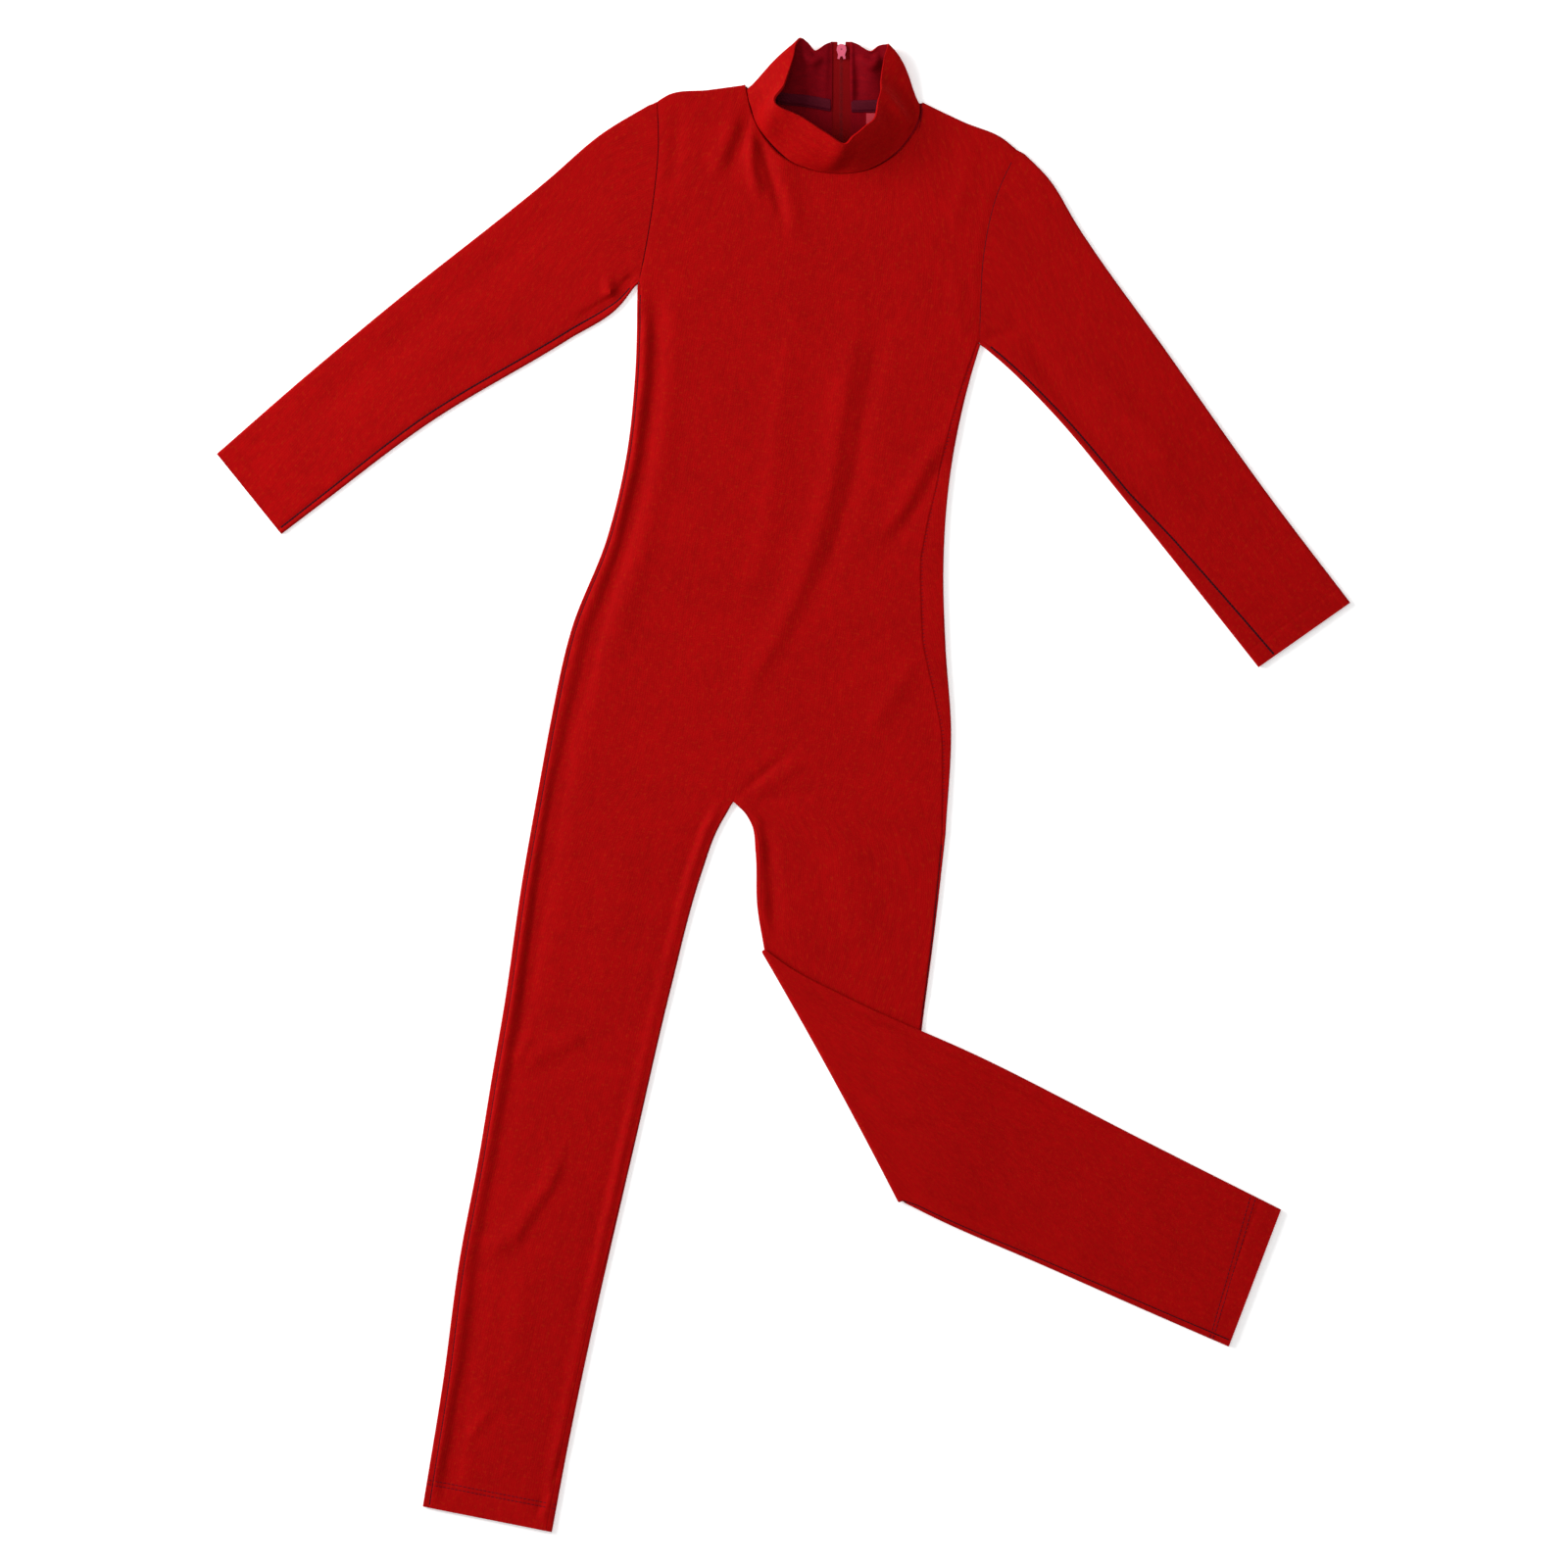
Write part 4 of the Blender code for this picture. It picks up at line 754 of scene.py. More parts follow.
def sleeve_grid(side):
    """Rings from the armhole to the cuff, open along the seam under the arm."""
    shares = np.concatenate([[0.0, 0.006], np.linspace(0.012, 1.0, 96)])
    shares = near_hem(shares, SLEEVE_LENGTH, CUFF_LINE)
    uppers, lowers = through(SLEEVE_TOPS[side], shares), through(SLEEVE_BOTTOMS[side], shares)
    foot = np.array(ARMHOLES[side][-1])
    straight = np.array(ARMHOLES[side][0]) - foot
    along = np.array([side * 0.75, -0.66])
    half = (FRONT_MID + LOFT - BACK_MID) / 2
    quarter = half * math.pi / 2
    ring = WALL / 2 + half
    plans, sides = [], []
    for share, upper, lower in zip(shares, uppers, lowers):
        width = float(np.linalg.norm(upper - lower))
        seam = from_table(SLEEVE_SEAMS[side], share)
        start = ring + seam + SEAM_GAP / 2 - quarter
        near_seam = start + NEAR_STEP * np.arange(12)
        top = np.concatenate([near_seam, np.linspace(near_seam[-1], width - ring, 28)[1:-1]])
        turn = np.radians(np.linspace(90, -90, 11))
        far = width - WALL / 2 - half * (1 - np.cos(turn))
        under = np.linspace(width - ring, ring, 26)[1:-1]
        near = WALL / 2 + half * (1 - np.cos(turn))
        last = np.linspace(ring, ring + seam - SEAM_GAP / 2 - quarter, 4)[1:]
        f = np.concatenate([top, far, under, near, last]) / width
        plan = lower + np.outer(f, upper - lower)
        armhole = through(ARMHOLES[side], 1.0 - f)
        plan = plan + (armhole - foot - np.outer(f, straight)) * max(1.0 - share / 0.4, 0.0) ** 2
        begin = float(smooth(share / 0.012))
        edge_row = armhole + along * (SLEEVE_LENGTH * share - ARMHOLE_OVERLAP)
        plan = plan * begin + edge_row * (1 - begin)
        plans.append(plan)
        rolled = np.sin(turn)
        levels = (np.ones(len(top)), rolled, -np.ones(len(under)), -rolled, np.ones(len(last)))
        sides.append(np.concatenate(levels))
    x, y = np.array(plans).transpose(2, 0, 1)
    return np.stack([x, y, height_between(np.array(sides), x, y)], axis=2)


# The meshes.

TOP_FROM_Z = 1.6  # a seam sinks only where it lies on the upper side
REACH_LIMIT = 0.62  # share of the wall that a point may move from the middle surface
SMOOTH_BELOW = 48  # degrees between two faces


def linked(name, data):
    """A new object of the scene with this mesh, light or camera."""
    made = bpy.data.objects.new(name, data)
    bpy.context.scene.collection.objects.link(made)
    return made


def deselect_all():
    for other in bpy.context.selected_objects:
        other.select_set(False)


def cloth(name, grids, materials, core, wall=WALL, sink=0.5, directions=(1,), closed=False):
    """A thin shell from open grids of points, welded where they meet, with UVs in metres.

    Its outside, which gets the first of the two materials, faces away from the point core. Where
    a seam joins its first columns to another piece, they sink a little; on a closed tube the last
    ones do too.
    """
    points, quads, places = [], [], []
    for grid, direction in zip(grids, directions):
        grid = grid.copy()
        sunk = [(0, sink), (1, sink * 0.45)] + [(-1, sink), (-2, sink * 0.45)] * closed
        for column, drop in sunk:
            on_top = grid[:, column, 2] > TOP_FROM_Z
            grid[on_top, column, 2] -= drop
        steps = np.linalg.norm(np.diff(grid, axis=1), axis=2)
        u = np.concatenate([np.zeros((len(grid), 1)), np.cumsum(steps, axis=1)], axis=1)
        u = (u - u[:, -1:]) * direction
        rise = np.linalg.norm(np.diff(grid[:, -1], axis=0), axis=1)
        v = np.repeat(-np.concatenate([[0.0], np.cumsum(rise)])[:, None], grid.shape[1], axis=1)
        grid[:, :, :2] += CENTRING
        first = sum(len(block) for block in points)
        number = first + np.arange(grid.shape[0] * grid.shape[1]).reshape(grid.shape[:2])
        corners = (number[:-1, :-1], number[1:, :-1], number[1:, 1:], number[:-1, 1:])
        quads.append(np.stack(corners, axis=2).reshape(-1, 4))
        points.append(grid.reshape(-1, 3) * MM)
        places.append(np.stack([u, v], axis=2).reshape(-1, 2) * MM)
    points, quads, places = (np.concatenate(part) for part in (points, quads, places))
    mesh = bpy.data.meshes.new(name)
    mesh.from_pydata(points.tolist(), [], quads.tolist())
    uv_layer = mesh.uv_layers.new(name="grain")
    uv_layer.data.foreach_set("uv", places[quads.reshape(-1)].reshape(-1))
    for material in materials:
        mesh.materials.append(material)
    built = bmesh.new()
    built.from_mesh(mesh)
    bmesh.ops.remove_doubles(built, verts=built.verts[:], dist=0.01 * MM)
    bmesh.ops.recalc_face_normals(built, faces=built.faces[:])
    core = Vector(core)
    if sum(f.normal.dot(f.calc_center_median() - core) * f.calc_area() for f in built.faces) < 0:
        bmesh.ops.reverse_faces(built, faces=built.faces[:])
    built.to_mesh(mesh)
    built.free()
    piece = linked(name, mesh)
    give_wall(piece, wall)
    return piece


def places_of(mesh):
    flat = np.empty(len(mesh.vertices) * 3)
    mesh.vertices.foreach_get("co", flat)
    return flat.reshape(-1, 3)


def give_wall(piece, wall):
    """Half of the wall on each side of the middle surface, with no spikes at tight turns."""
    middle = places_of(piece.data)
    solid = piece.modifiers.new("wall", "SOLIDIFY")
    solid.thickness = wall * MM
    solid.offset = 0.0
    solid.use_even_offset = True
    solid.use_quality_normals = True
    solid.material_offset = 1
    apply_modifiers(piece)
    reach = places_of(piece.data) - np.concatenate([middle, middle])
    size = np.linalg.norm(reach, axis=1)
    limit = REACH_LIMIT * wall * MM
    reach = reach * np.minimum(1.0, limit / np.maximum(size, 1e-9))[:, None]
    piece.data.vertices.foreach_set("co", (np.concatenate([middle, middle]) + reach).reshape(-1))
    piece.data.update()


def apply_modifiers(piece):
    deselect_all()
    bpy.context.view_layer.objects.active = piece
    piece.select_set(True)
    for modifier in list(piece.modifiers):
        bpy.ops.object.modifier_apply(modifier=modifier.name)
    bpy.ops.object.shade_smooth_by_angle(angle=math.radians(SMOOTH_BELOW))
    piece.select_set(False)


def collar_grid():
    """Stations round the neck, each from the top edge down to the foot."""
    rows = np.linspace(0, len(COLLAR) - 1, COLLAR_STATIONS)
    stations = hermite(COLLAR, np.arange(len(COLLAR)), rows)
    share = np.linspace(1, 0, COLLAR_LEVELS)[None, :, None]
    feet, tops, bow = stations[:, None, :3], stations[:, None, 3:6], stations[:, None, 6:]
    points = feet + (tops - feet) * share
    away = points[:, :, :2] - np.array(NECK_CENTRE)
    away = away / np.linalg.norm(away, axis=2)[:, :, None]
    points[:, :, :2] += away * (BOW_SCALE * share**2 * (1 - share) * bow)
    points[:, :, :2] *= 1 - points[:, :, 2:] / CAMERA_HEIGHT  # the table holds the places as seen
    normal = np.cross(np.gradient(points, axis=0), np.gradient(points, axis=1))
    normal = normal / np.linalg.norm(normal, axis=2)[:, :, None]
    normal *= np.sign(normal[:, :, 2:])
    rise = np.zeros(points.shape[:2])
    for row, height, size, row_width, height_width in COLLAR_FOLDS:
        along = ((rows - row) / row_width)[:, None]
        up = (share[:, :, 0] - height) / height_width
        rise += COLLAR_FOLD_STRENGTH * size * np.exp(-(along**2) - up**2)
    rise *= smooth(share[:, :, 0] / 0.15)
    return points + normal * rise[:, :, None]


def zip_height(y):
    """The zip lies on the surface and rises with the collar."""
    low, high = ZIP_RISE_Y
    return BACK_MID + (ZIP_TOP_Z - BACK_MID) * np.clip((np.asarray(y, float) - low) / (high - low), 0, 1)


def tape_grid(side):
    """One tape of the zip. Above the slider it parts from the other."""
    bend = ZIP_RISE_Y[0] - 2
    y = np.concatenate([np.linspace(ZIP_TOP_Y, bend, 40), np.linspace(bend, ZIP_END_Y, 80)[1:]])
    centre = centre_points(y)[:, 0]
    parted = TAPES_PARTED * smooth((y - SLIDER_Y) / 5.0)
    grid = []
    for share in np.linspace(1, 0, 6):
        width = TAPE_INNER + parted + (TAPE_OUTER - TAPE_INNER - 0.8 * parted) * share
        grid.append(np.column_stack([centre + side * width, y, zip_height(y)]))
    return np.array(grid).transpose(1, 0, 2)


def one_bead():
    """A short six-sided pin with bevelled ends, of unit length and radius: points and faces."""
    deselect_all()
    bpy.ops.mesh.primitive_cylinder_add(vertices=6, radius=1.0, depth=1.0)
    pin = bpy.context.object
    bpy.ops.object.mode_set(mode="EDIT")
    bpy.ops.mesh.select_all(action="DESELECT")
    bpy.ops.object.mode_set(mode="OBJECT")
    for rim in pin.data.edges:
        ends = [pin.data.vertices[i].co.z for i in rim.vertices]
        rim.select = abs(ends[0] - ends[1]) < 0.1
    bpy.ops.object.mode_set(mode="EDIT")
    bpy.ops.mesh.select_mode(type="EDGE")
    bpy.ops.mesh.bevel(offset=0.22, segments=1, affect="EDGES")
    bpy.ops.object.mode_set(mode="OBJECT")
    points = places_of(pin.data)
    faces = [list(face.vertices) for face in pin.data.polygons]
    bpy.data.objects.remove(pin, do_unlink=True)
    return points, faces


BEAD_POINTS, BEAD_FACES = one_bead()


def beads(name, starts, ends, radius, flat, material):
    """Copies of the pin, each laid from a start to an end, as one mesh."""
    ways = (ends - starts) / np.linalg.norm(ends - starts, axis=1)[:, None]
    across = np.cross(ways, (0.0, 0.0, 1.0))
    across = across / np.maximum(np.linalg.norm(across, axis=1), 1e-6)[:, None]
    up = np.cross(across, ways) * flat
    shapes = (BEAD_POINTS[:, 2] + 0.5)[None, :, None] * (ends - starts)[:, None]
    shapes = shapes + radius * BEAD_POINTS[None, :, :1] * across[:, None]
    shapes = shapes + radius * BEAD_POINTS[None, :, 1:2] * up[:, None] + starts[:, None]
    points = (shapes.reshape(-1, 3) + (*CENTRING, 0.0)) * MM
    count = len(BEAD_POINTS)
    faces = [[i + count * copy for i in face] for copy in range(len(starts)) for face in BEAD_FACES]
    mesh = bpy.data.meshes.new(name)
    mesh.from_pydata(points.tolist(), [], faces)
    built = bmesh.new()
    built.from_mesh(mesh)
    bmesh.ops.recalc_face_normals(built, faces=built.faces[:])
    built.to_mesh(mesh)
    built.free()
    mesh.materials.append(material)
    mesh.shade_smooth()
    return linked(name, mesh)


def coil_piece(material):
    """The closed coil: one bead for each half turn, leaning alternately."""
    y = np.arange(COIL_TOP_Y, ZIP_END_Y + 1.0, -COIL_PITCH / 2)
    centre = np.column_stack([centre_points(y), zip_height(y) - COIL_BELOW])
    lean = np.where(np.arange(len(y)) % 2, COIL_LEAN, -COIL_LEAN)
    reach = np.column_stack([np.full(len(y), COIL_REACH), lean, np.zeros(len(y))])
    return beads("zip_coil_turns", centre - reach, centre + reach, COIL_RADIUS, 1.1, material)


def lines_at(grid, inside, up):
    """The line on the cloth's surface at a distance from the grid's last row, and its normals."""
    lengths = np.concatenate([[0.0], np.cumsum(np.linalg.norm(np.diff(grid[::-1], axis=0), axis=2).mean(1))])
    backwards = grid[::-1]
    k = int(np.searchsorted(lengths, inside)) - 1
    share = (inside - lengths[k]) / (lengths[k + 1] - lengths[k])
    line = backwards[k] * (1 - share) + backwards[k + 1] * share
    across = backwards[k + 1] - backwards[k]
    along = np.gradient(line, axis=0)
    normal = np.cross(across, along)
    normal = normal / np.linalg.norm(normal, axis=1)[:, None]
    return line, normal * up


def stitches_along(line, first, pitch, length):
    """Where the stitches along a line of points start and end."""
    runs = run_lengths(line)
    at = np.arange(first, runs[-1] - 3.0, pitch)
    return [np.stack([np.interp(x, runs, line[:, i]) for i in range(3)], axis=1) for x in (at, at + length)]


def hem_stitches(name, runs, material):
    """Twin-needle stitching: two rows of short stitches round each hem, on the outside."""
    found = []
    for grid, inside, up in runs:
        for distance in (inside, inside + TWIN_SPACING):
            line, normal = lines_at(grid, distance, up)
            line = line + normal * (WALL / 2 + STITCH_RISE)
            found.append(stitches_along(line, 1.5, STITCH_PITCH, STITCH_LENGTH))
    starts, ends = (np.concatenate(part) for part in zip(*found))
    return beads(name, starts, ends, STITCH_RADIUS, 0.8, material)


def seam_threads(name, runs, radius, pitch, material, reach=None):
    """Stitches sunk in the groove between two pieces, along it or, with a reach, across it."""
    found = [stitches_along(line, 1.0, pitch, pitch - 0.15) for line in runs]
    starts, ends = (np.concatenate(part) for part in zip(*found))
    if reach is not None:
        starts, ends = starts - reach, starts + reach
    return beads(name, starts, ends, radius, 0.6, material)


def overlock(name, first, last, material):
    """The overlocked edge of the neck seam, which lies up against the inside of the collar."""
    rows = np.arange(first, last, OVERLOCK_STEP)
    table = hermite(COLLAR, np.arange(len(COLLAR)), rows)
    foot, top = table[:, :3], table[:, 3:6]
    way = (top - foot) / np.linalg.norm(top - foot, axis=1)[:, None]
    low = foot - way * 2.5 + (0.0, 0.0, 1.15)
    high = foot + way * 5.6 + (0.0, 0.0, 1.1)
    starts = np.concatenate([low[:-1], low[:-1] - way[:-1] * 0.25])
    ends = np.concatenate([high[1:], low[1:] - way[1:] * 0.25])
    return beads(name, starts, ends, OVERLOCK_RADIUS, 0.6, material)


# The materials.


def colour(code):
    """A hex sRGB colour as linear red, green, blue and alpha."""
    parts = [int(code[i : i + 2], 16) / 255 for i in (0, 2, 4)]
    linear = [p / 12.92 if p <= 0.04045 else ((p + 0.055) / 1.055) ** 2.4 for p in parts]
    return (*linear, 1.0)


def add(tree, kind, values=None, links=None, **settings):
    """Adds a node with its settings, the values of its inputs, and links from other nodes."""
    node = tree.nodes.new(kind)
    for name, value in settings.items():
        setattr(node, name, value)
    for name, value in (values or {}).items():
        node.inputs[name].default_value = value
    for name, (source, output) in (links or {}).items():
        tree.links.new(source.outputs[output], node.inputs[name])
    return node


def new_material(name):
    material = bpy.data.materials.new(name)
    material.use_nodes = True
    tree = material.node_tree
    return material, tree, tree.nodes["Principled BSDF"]


def set_stops(ramp, first, second, places=(0.0, 1.0)):
    """The two colours of a ramp and where they lie on it."""
    for element, shade, place in zip(ramp.color_ramp.elements, (first, second), places):
        element.position = place
        element.color = shade


def surface(tree, shader, base, normal, values):
    """Gives the shader its colour, its bump and its plain values."""
    tree.links.new(base.outputs["Color"], shader.inputs["Base Color"])
    tree.links.new(normal.outputs["Normal"], shader.inputs["Normal"])
    for name, value in values.items():
        shader.inputs[name].default_value = value


def brushed_knit(name, light, dark, fleck):
    """Brushed stretch double knit: a matt, faintly mottled face with fine wales along the grain."""
    material, tree, shader = new_material(name)
    grain = (add(tree, "ShaderNodeUVMap", uv_map="grain"), "UV")
    stretched = add(tree, "ShaderNodeMapping", {"Scale": (1.0, 0.45, 1.0)}, {"Vector": grain})
    # Tufts of the pile, about 4 mm, and broad, faint patches, about 40 mm, where it lies otherwise.
    tufts = {"Scale": 240.0, "Detail": 5.0, "Roughness": 0.62}
    mottle = add(tree, "ShaderNodeTexNoise", tufts, {"Vector": (stretched, "Vector")})
    cloud = add(tree, "ShaderNodeTexNoise", {"Scale": 24.0, "Detail": 3.0}, {"Vector": grain})
    part = add(tree, "ShaderNodeMath", {1: 0.3}, {0: (cloud, "Fac")}, operation="MULTIPLY")
    parts = {0: (mottle, "Fac"), 2: (part, "Value")}
    total = add(tree, "ShaderNodeMath", {1: 0.7}, parts, operation="MULTIPLY_ADD")
    ramp = add(tree, "ShaderNodeValToRGB", links={"Fac": (total, "Value")})
    set_stops(ramp, colour(dark), colour(light), (0.34, 0.62))
    # Single fibres that catch the light.
    specks = add(tree, "ShaderNodeTexNoise", {"Scale": 420.0, "Detail": 2.0}, {"Vector": grain})
    few = {"From Min": 0.55, "From Max": 0.75, "To Max": 0.4}
    sparse = add(tree, "ShaderNodeMapRange", few, {"Value": (specks, "Fac")})
    mixed = {"Fac": (sparse, "Result"), "Color1": (ramp, "Color")}
    blend = add(tree, "ShaderNodeMixRGB", {"Color2": colour(fleck)}, mixed)
    # Wales are about 0.9 mm apart on the real cloth, drawn here at 1.8 mm so that they show.
    ribs = {"Scale": 175.0, "Distortion": 1.2, "Detail": 1.0, "Detail Scale": 2.0}
    wales = add(tree, "ShaderNodeTexWave", ribs, {"Vector": grain}, bands_direction="X")
    nap = {"Scale": 900.0, "Detail": 3.0, "Roughness": 0.6}
    fuzz = add(tree, "ShaderNodeTexNoise", nap, {"Vector": grain})
    soft = {"Strength": 0.35, "Distance": 0.0004}
    fuzz_bump = add(tree, "ShaderNodeBump", soft, {"Height": (fuzz, "Fac")})
    both = {"Height": (wales, "Fac"), "Normal": (fuzz_bump, "Normal")}
    bump = add(tree, "ShaderNodeBump", {"Strength": 0.12, "Distance": 0.0003}, both)
    matt = {"Roughness": 0.78, "Specular IOR Level": 0.04}
    pile = {"Sheen Weight": 0.12, "Sheen Roughness": 0.45, "Sheen Tint": colour("C81A10")}
    surface(tree, shader, blend, bump, matt | pile)
    return material


def woven_tape(name, base, dark):
    """Woven polyester tape of the zip: a fine close weave, 0.75 mm a pair of threads."""
    material, tree, shader = new_material(name)
    place = (add(tree, "ShaderNodeTexCoord"), "Object")
    threads = {"Scale": 420.0, "Distortion": 0.4}
    weave = add(tree, "ShaderNodeTexWave", threads, {"Vector": place}, bands_direction="Y")
    ramp = add(tree, "ShaderNodeValToRGB", links={"Fac": (weave, "Fac")})
    set_stops(ramp, colour(dark), colour(base))
    bump = add(tree, "ShaderNodeBump", {"Strength": 0.3, "Distance": 0.0002}, {"Height": (weave, "Fac")})
    surface(tree, shader, ramp, bump, {"Roughness": 0.85, "Specular IOR Level": 0.06})
    return material


def plain(name, base, roughness, metallic=0.0, grain_scale=300.0, strength=0.1, gloss=0.1):
    """One even colour with a fine grain: nylon, enamel, satin and threads."""
    material, tree, shader = new_material(name)
    place = (add(tree, "ShaderNodeTexCoord"), "Object")
    values = {"Scale": grain_scale, "Detail": 3.0}
    grain = add(tree, "ShaderNodeTexNoise", values, {"Vector": place})
    low = [c * 0.8 for c in colour(base)[:3]] + [1.0]
    ramp = add(tree, "ShaderNodeValToRGB", links={"Fac": (grain, "Fac")})
    set_stops(ramp, low, colour(base))
    fine = {"Strength": strength, "Distance": 0.0002}
    bump = add(tree, "ShaderNodeBump", fine, {"Height": (grain, "Fac")})
    values = {"Roughness": roughness, "Metallic": metallic, "Specular IOR Level": gloss}
    surface(tree, shader, ramp, bump, values)
    return material


# The garment.

# The pile scatters the light: a warm, matt red that hardly brightens towards the light.
knit = brushed_knit("brushed stretch knit, red", "9D0304", "8D0203", "9E2004")
# The side within, coloured deeper and a little colder than the outside: painted shade for the inside of the
# collar and of the tubes, which lies in shade.
knit_inside_painted_shade = brushed_knit("inside of the stretch knit, red, painted shade", "7A020E", "66010C", "80080E")
# Flat and dull, a shade darker than the cloth beside it.
tape_cloth = woven_tape("woven polyester zip tape, red", "860408", "640306")
# Drawn nylon thread with a soft gloss, dyed to the cloth.
coil_nylon = plain("nylon zip coil, dark red", "62050A", 0.5)
# Sprayed and baked on the cast slider: pale pink, smooth and bright.
enamel = plain("enamelled zinc, pink", "C84A66", 0.3, 0.3, 500.0, 0.05, 0.5)
# Woven satin, smoother and paler than the knit.
satin = plain("label satin, red", "C03440", 0.45, 0.0, 700.0, 0.1)
# Twisted thread on the cloth, which reads as a line of dark points.
thread = plain("polyester sewing thread, dark red", "560316", 0.7, 0.0, 900.0, 0.2)
# The same thread down in the groove of a seam, coloured darker as painted shade, since little light comes
# there.
seam_thread = plain("seam thread, painted shade, wine red", "36020E", 0.8, 0.0, 900.0, 0.2)
# Loose looped thread, dull, with a violet cast inside the collar.
overlock_thread = plain("overlock thread, dark wine red", "560318", 0.7, 0.0, 900.0, 0.3)

halves = {(side, layer): body_half(side, layer) for side in (RIGHT, LEFT) for layer in (FRONT, BACK)}
sleeves = {side: sleeve_grid(side) for side in (RIGHT, LEFT)}
# The second knit, with its painted shade, goes on the inner face of each shell.
knits = (knit, knit_inside_painted_shade)
tapes = (tape_cloth, tape_cloth)
# Points in metres that the outsides of the pieces face away from.
BELOW, ABOVE, NECK = (0, 0, -9), (0, 0, 9), (0.038, 0.5, 0.012)
RIGHT_SLEEVE, LEFT_SLEEVE = (-0.25, 0.32, 0.0018), (0.28, 0.26, 0.0018)
fronts = [halves[RIGHT, FRONT], halves[LEFT, FRONT]]
front = cloth("front_panel", fronts, knits, BELOW, directions=(1, -1))
back_right = cloth("back_right_panel", [halves[RIGHT, BACK]], knits, ABOVE)
back_left = cloth("back_left_panel", [halves[LEFT, BACK]], knits, ABOVE, directions=(-1,))
sleeve_right = cloth("sleeve_right_tube", [sleeves[RIGHT]], knits, RIGHT_SLEEVE, closed=True)
sleeve_left = cloth("sleeve_left_tube", [sleeves[LEFT]], knits, LEFT_SLEEVE, directions=(-1,), closed=True)
collar = cloth("collar_band", [collar_grid()], knits, NECK, COLLAR_WALL, sink=0.0)
tape_right = cloth("zip_tape_right_cloth", [tape_grid(RIGHT)], tapes, ABOVE, TAPE_WALL, sink=0.0)
tape_left = cloth("zip_tape_left_cloth", [tape_grid(LEFT)], tapes, ABOVE, TAPE_WALL, sink=0.0)
coil = coil_piece(coil_nylon)
hems = [(grid, HEM_LINE, side * layer) for (side, layer), grid in halves.items()]
cuffs = [(grid, CUFF_LINE, side) for side, grid in sleeves.items()]
leg_stitches = hem_stitches("stitches_of_the_legs", hems, thread)
cuff_stitches = hem_stitches("stitches_of_the_cuffs", cuffs, thread)
overlock_right = overlock("overlock_right", 0.15, 4.2, overlock_thread)
overlock_left = overlock("overlock_left", 19.6, 22.9, overlock_thread)

# The seams: the rows of points where the flank and the leg begin, and the lines that show.
FIRST_FLANK_ROW, FIRST_LEG_ROW = 42, 131
right_front, left_front = halves[RIGHT, FRONT], halves[LEFT, FRONT]
seam_lines = [right_front[FIRST_FLANK_ROW:, 0], left_front[FIRST_LEG_ROW:, 0]]
seam_lines += [grid[FIRST_LEG_ROW + 3 :, -1] for grid in (right_front, left_front)]
body_edges = [grid[EDGE_COLUMNS : FIRST_FLANK_ROW - 4] for grid in (right_front, left_front)]
seam_lines += [0.8 * grid[:, 0] + 0.2 * grid[:, 1] for grid in body_edges]
sleeve_lines = [grid[3:, 0] + (0, 0, -0.12) for grid in sleeves.values()]
side_line = left_front[FIRST_FLANK_ROW:FIRST_LEG_ROW, 0] + (0, 0, -0.02)
# The seam threads carry painted shade: their dark colour draws the shade in each seam's groove.
seams = seam_threads(
    "seam_threads", [line + (0, 0, -0.06) for line in seam_lines], SEAM_RADIUS, SEAM_PITCH, seam_thread
)
sleeve_seams = seam_threads("sleeve_seam_threads", sleeve_lines, SLEEVE_SEAM_RADIUS, SEAM_PITCH, seam_thread)
ladder = seam_threads("side_seam_stitches", [side_line], LADDER_RADIUS, LADDER_PITCH, thread, LADDER_REACH)
for piece in (leg_stitches, cuff_stitches, overlock_right, overlock_left, seams, sleeve_seams, ladder):
    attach(piece, "garment")

for piece, node, slot_name in (
    (front, "front", "red_knit"),
    (back_right, "back_right", "red_knit"),
    (back_left, "back_left", "red_knit"),
    (sleeve_right, "sleeve_right", "red_knit"),
    (sleeve_left, "sleeve_left", "red_knit"),
    (collar, "collar", "red_knit"),
    (tape_right, "zip_tape_right", "red_tape"),
    (tape_left, "zip_tape_left", "red_tape"),
    (coil, "zip_coil", "red_coil"),
):
    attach(piece, "garment")
    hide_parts(node)

for name, finish in (("zip_slider", enamel), ("zip_tab", enamel), ("neck_label", satin)):
    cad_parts[name].data.materials.clear()
    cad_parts[name].data.materials.append(finish)

# The floor, the light and the camera.

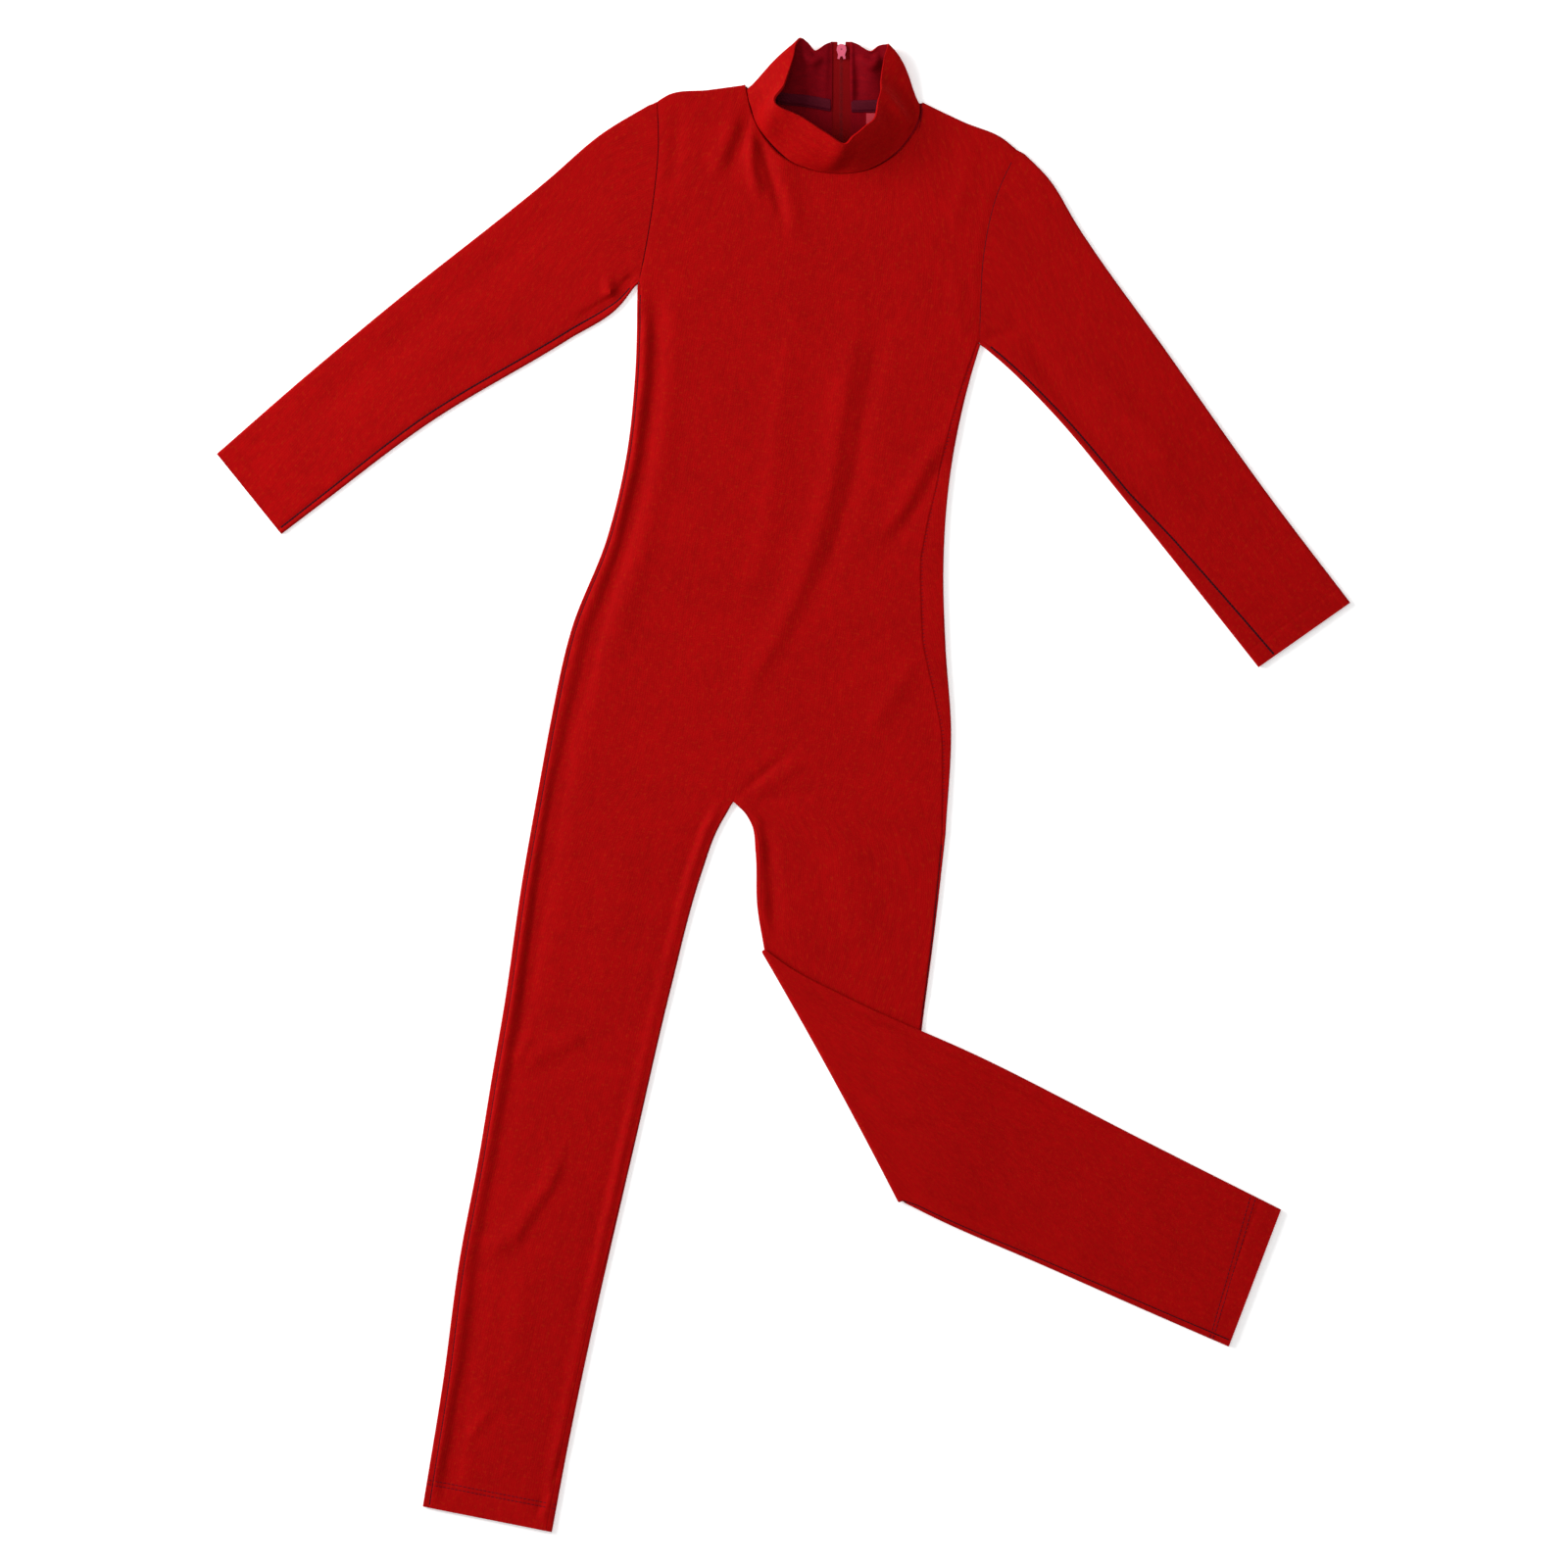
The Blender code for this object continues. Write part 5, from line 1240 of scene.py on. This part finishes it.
deselect_all()
bpy.ops.mesh.primitive_plane_add(size=8.0, location=(0.0, 0.0, -0.0002))
floor = bpy.context.object
floor.name = "floor"
floor_paint, _, floor_shader = new_material("matt white floor")
floor_shader.inputs["Base Color"].default_value = colour("F4F4F4")
floor_shader.inputs["Roughness"].default_value = 0.9
floor_shader.inputs["Emission Color"].default_value = colour("FFFFFF")
floor_shader.inputs["Emission Strength"].default_value = 0.34
floor.data.materials.append(floor_paint)


def area_light(name, place, target, size, power):
    """A square white light at a place, turned towards a target."""
    data = bpy.data.lights.new(name, "AREA")
    data.shape = "SQUARE"
    data.size = size
    data.energy = power
    light = linked(name, data)
    light.location = place
    direction = np.array(target) - np.array(place)
    yaw = math.atan2(direction[1], direction[0])
    pitch = math.atan2(-direction[2], math.hypot(direction[0], direction[1]))
    light.rotation_euler = (0.0, pitch - math.pi / 2, yaw)


bpy.context.scene.view_settings.view_transform = "Standard"
world = bpy.data.worlds.new("soft studio")
bpy.context.scene.world = world
world.use_nodes = True
sky = world.node_tree.nodes["Background"]
sky.inputs["Color"].default_value = (1, 1, 1, 1)
sky.inputs["Strength"].default_value = 0.30
area_light("window on the left", (-2.4, 0.95, 1.35), (0.1, -0.05, 0.0), 1.6, 117.0)
area_light("fill on the right", (1.5, 1.7, 1.5), (0.05, 0.4, 0.0), 1.0, 6.5)
area_light("fill by the feet", (0.9, -1.8, 1.3), (0.0, -0.35, 0.0), 1.2, 5.5)
area_light("ceiling", (-0.2, 0.6, 2.6), (0.0, 0.0, 0.0), 1.6, 14.0)

# Straight above, and so far that the photo's width is this many metres on the surface.
CAMERA_LENS, CAMERA_SENSOR, VIEW_WIDTH = 200.0, 36.0, 1.152
camera_data = bpy.data.cameras.new("camera")
camera_data.lens = CAMERA_LENS
camera_data.sensor_width = CAMERA_SENSOR
camera = linked("camera", camera_data)
camera.location = (CENTRING[0] * MM, CENTRING[1] * MM, VIEW_WIDTH * CAMERA_LENS / CAMERA_SENSOR)
bpy.context.scene.camera = camera
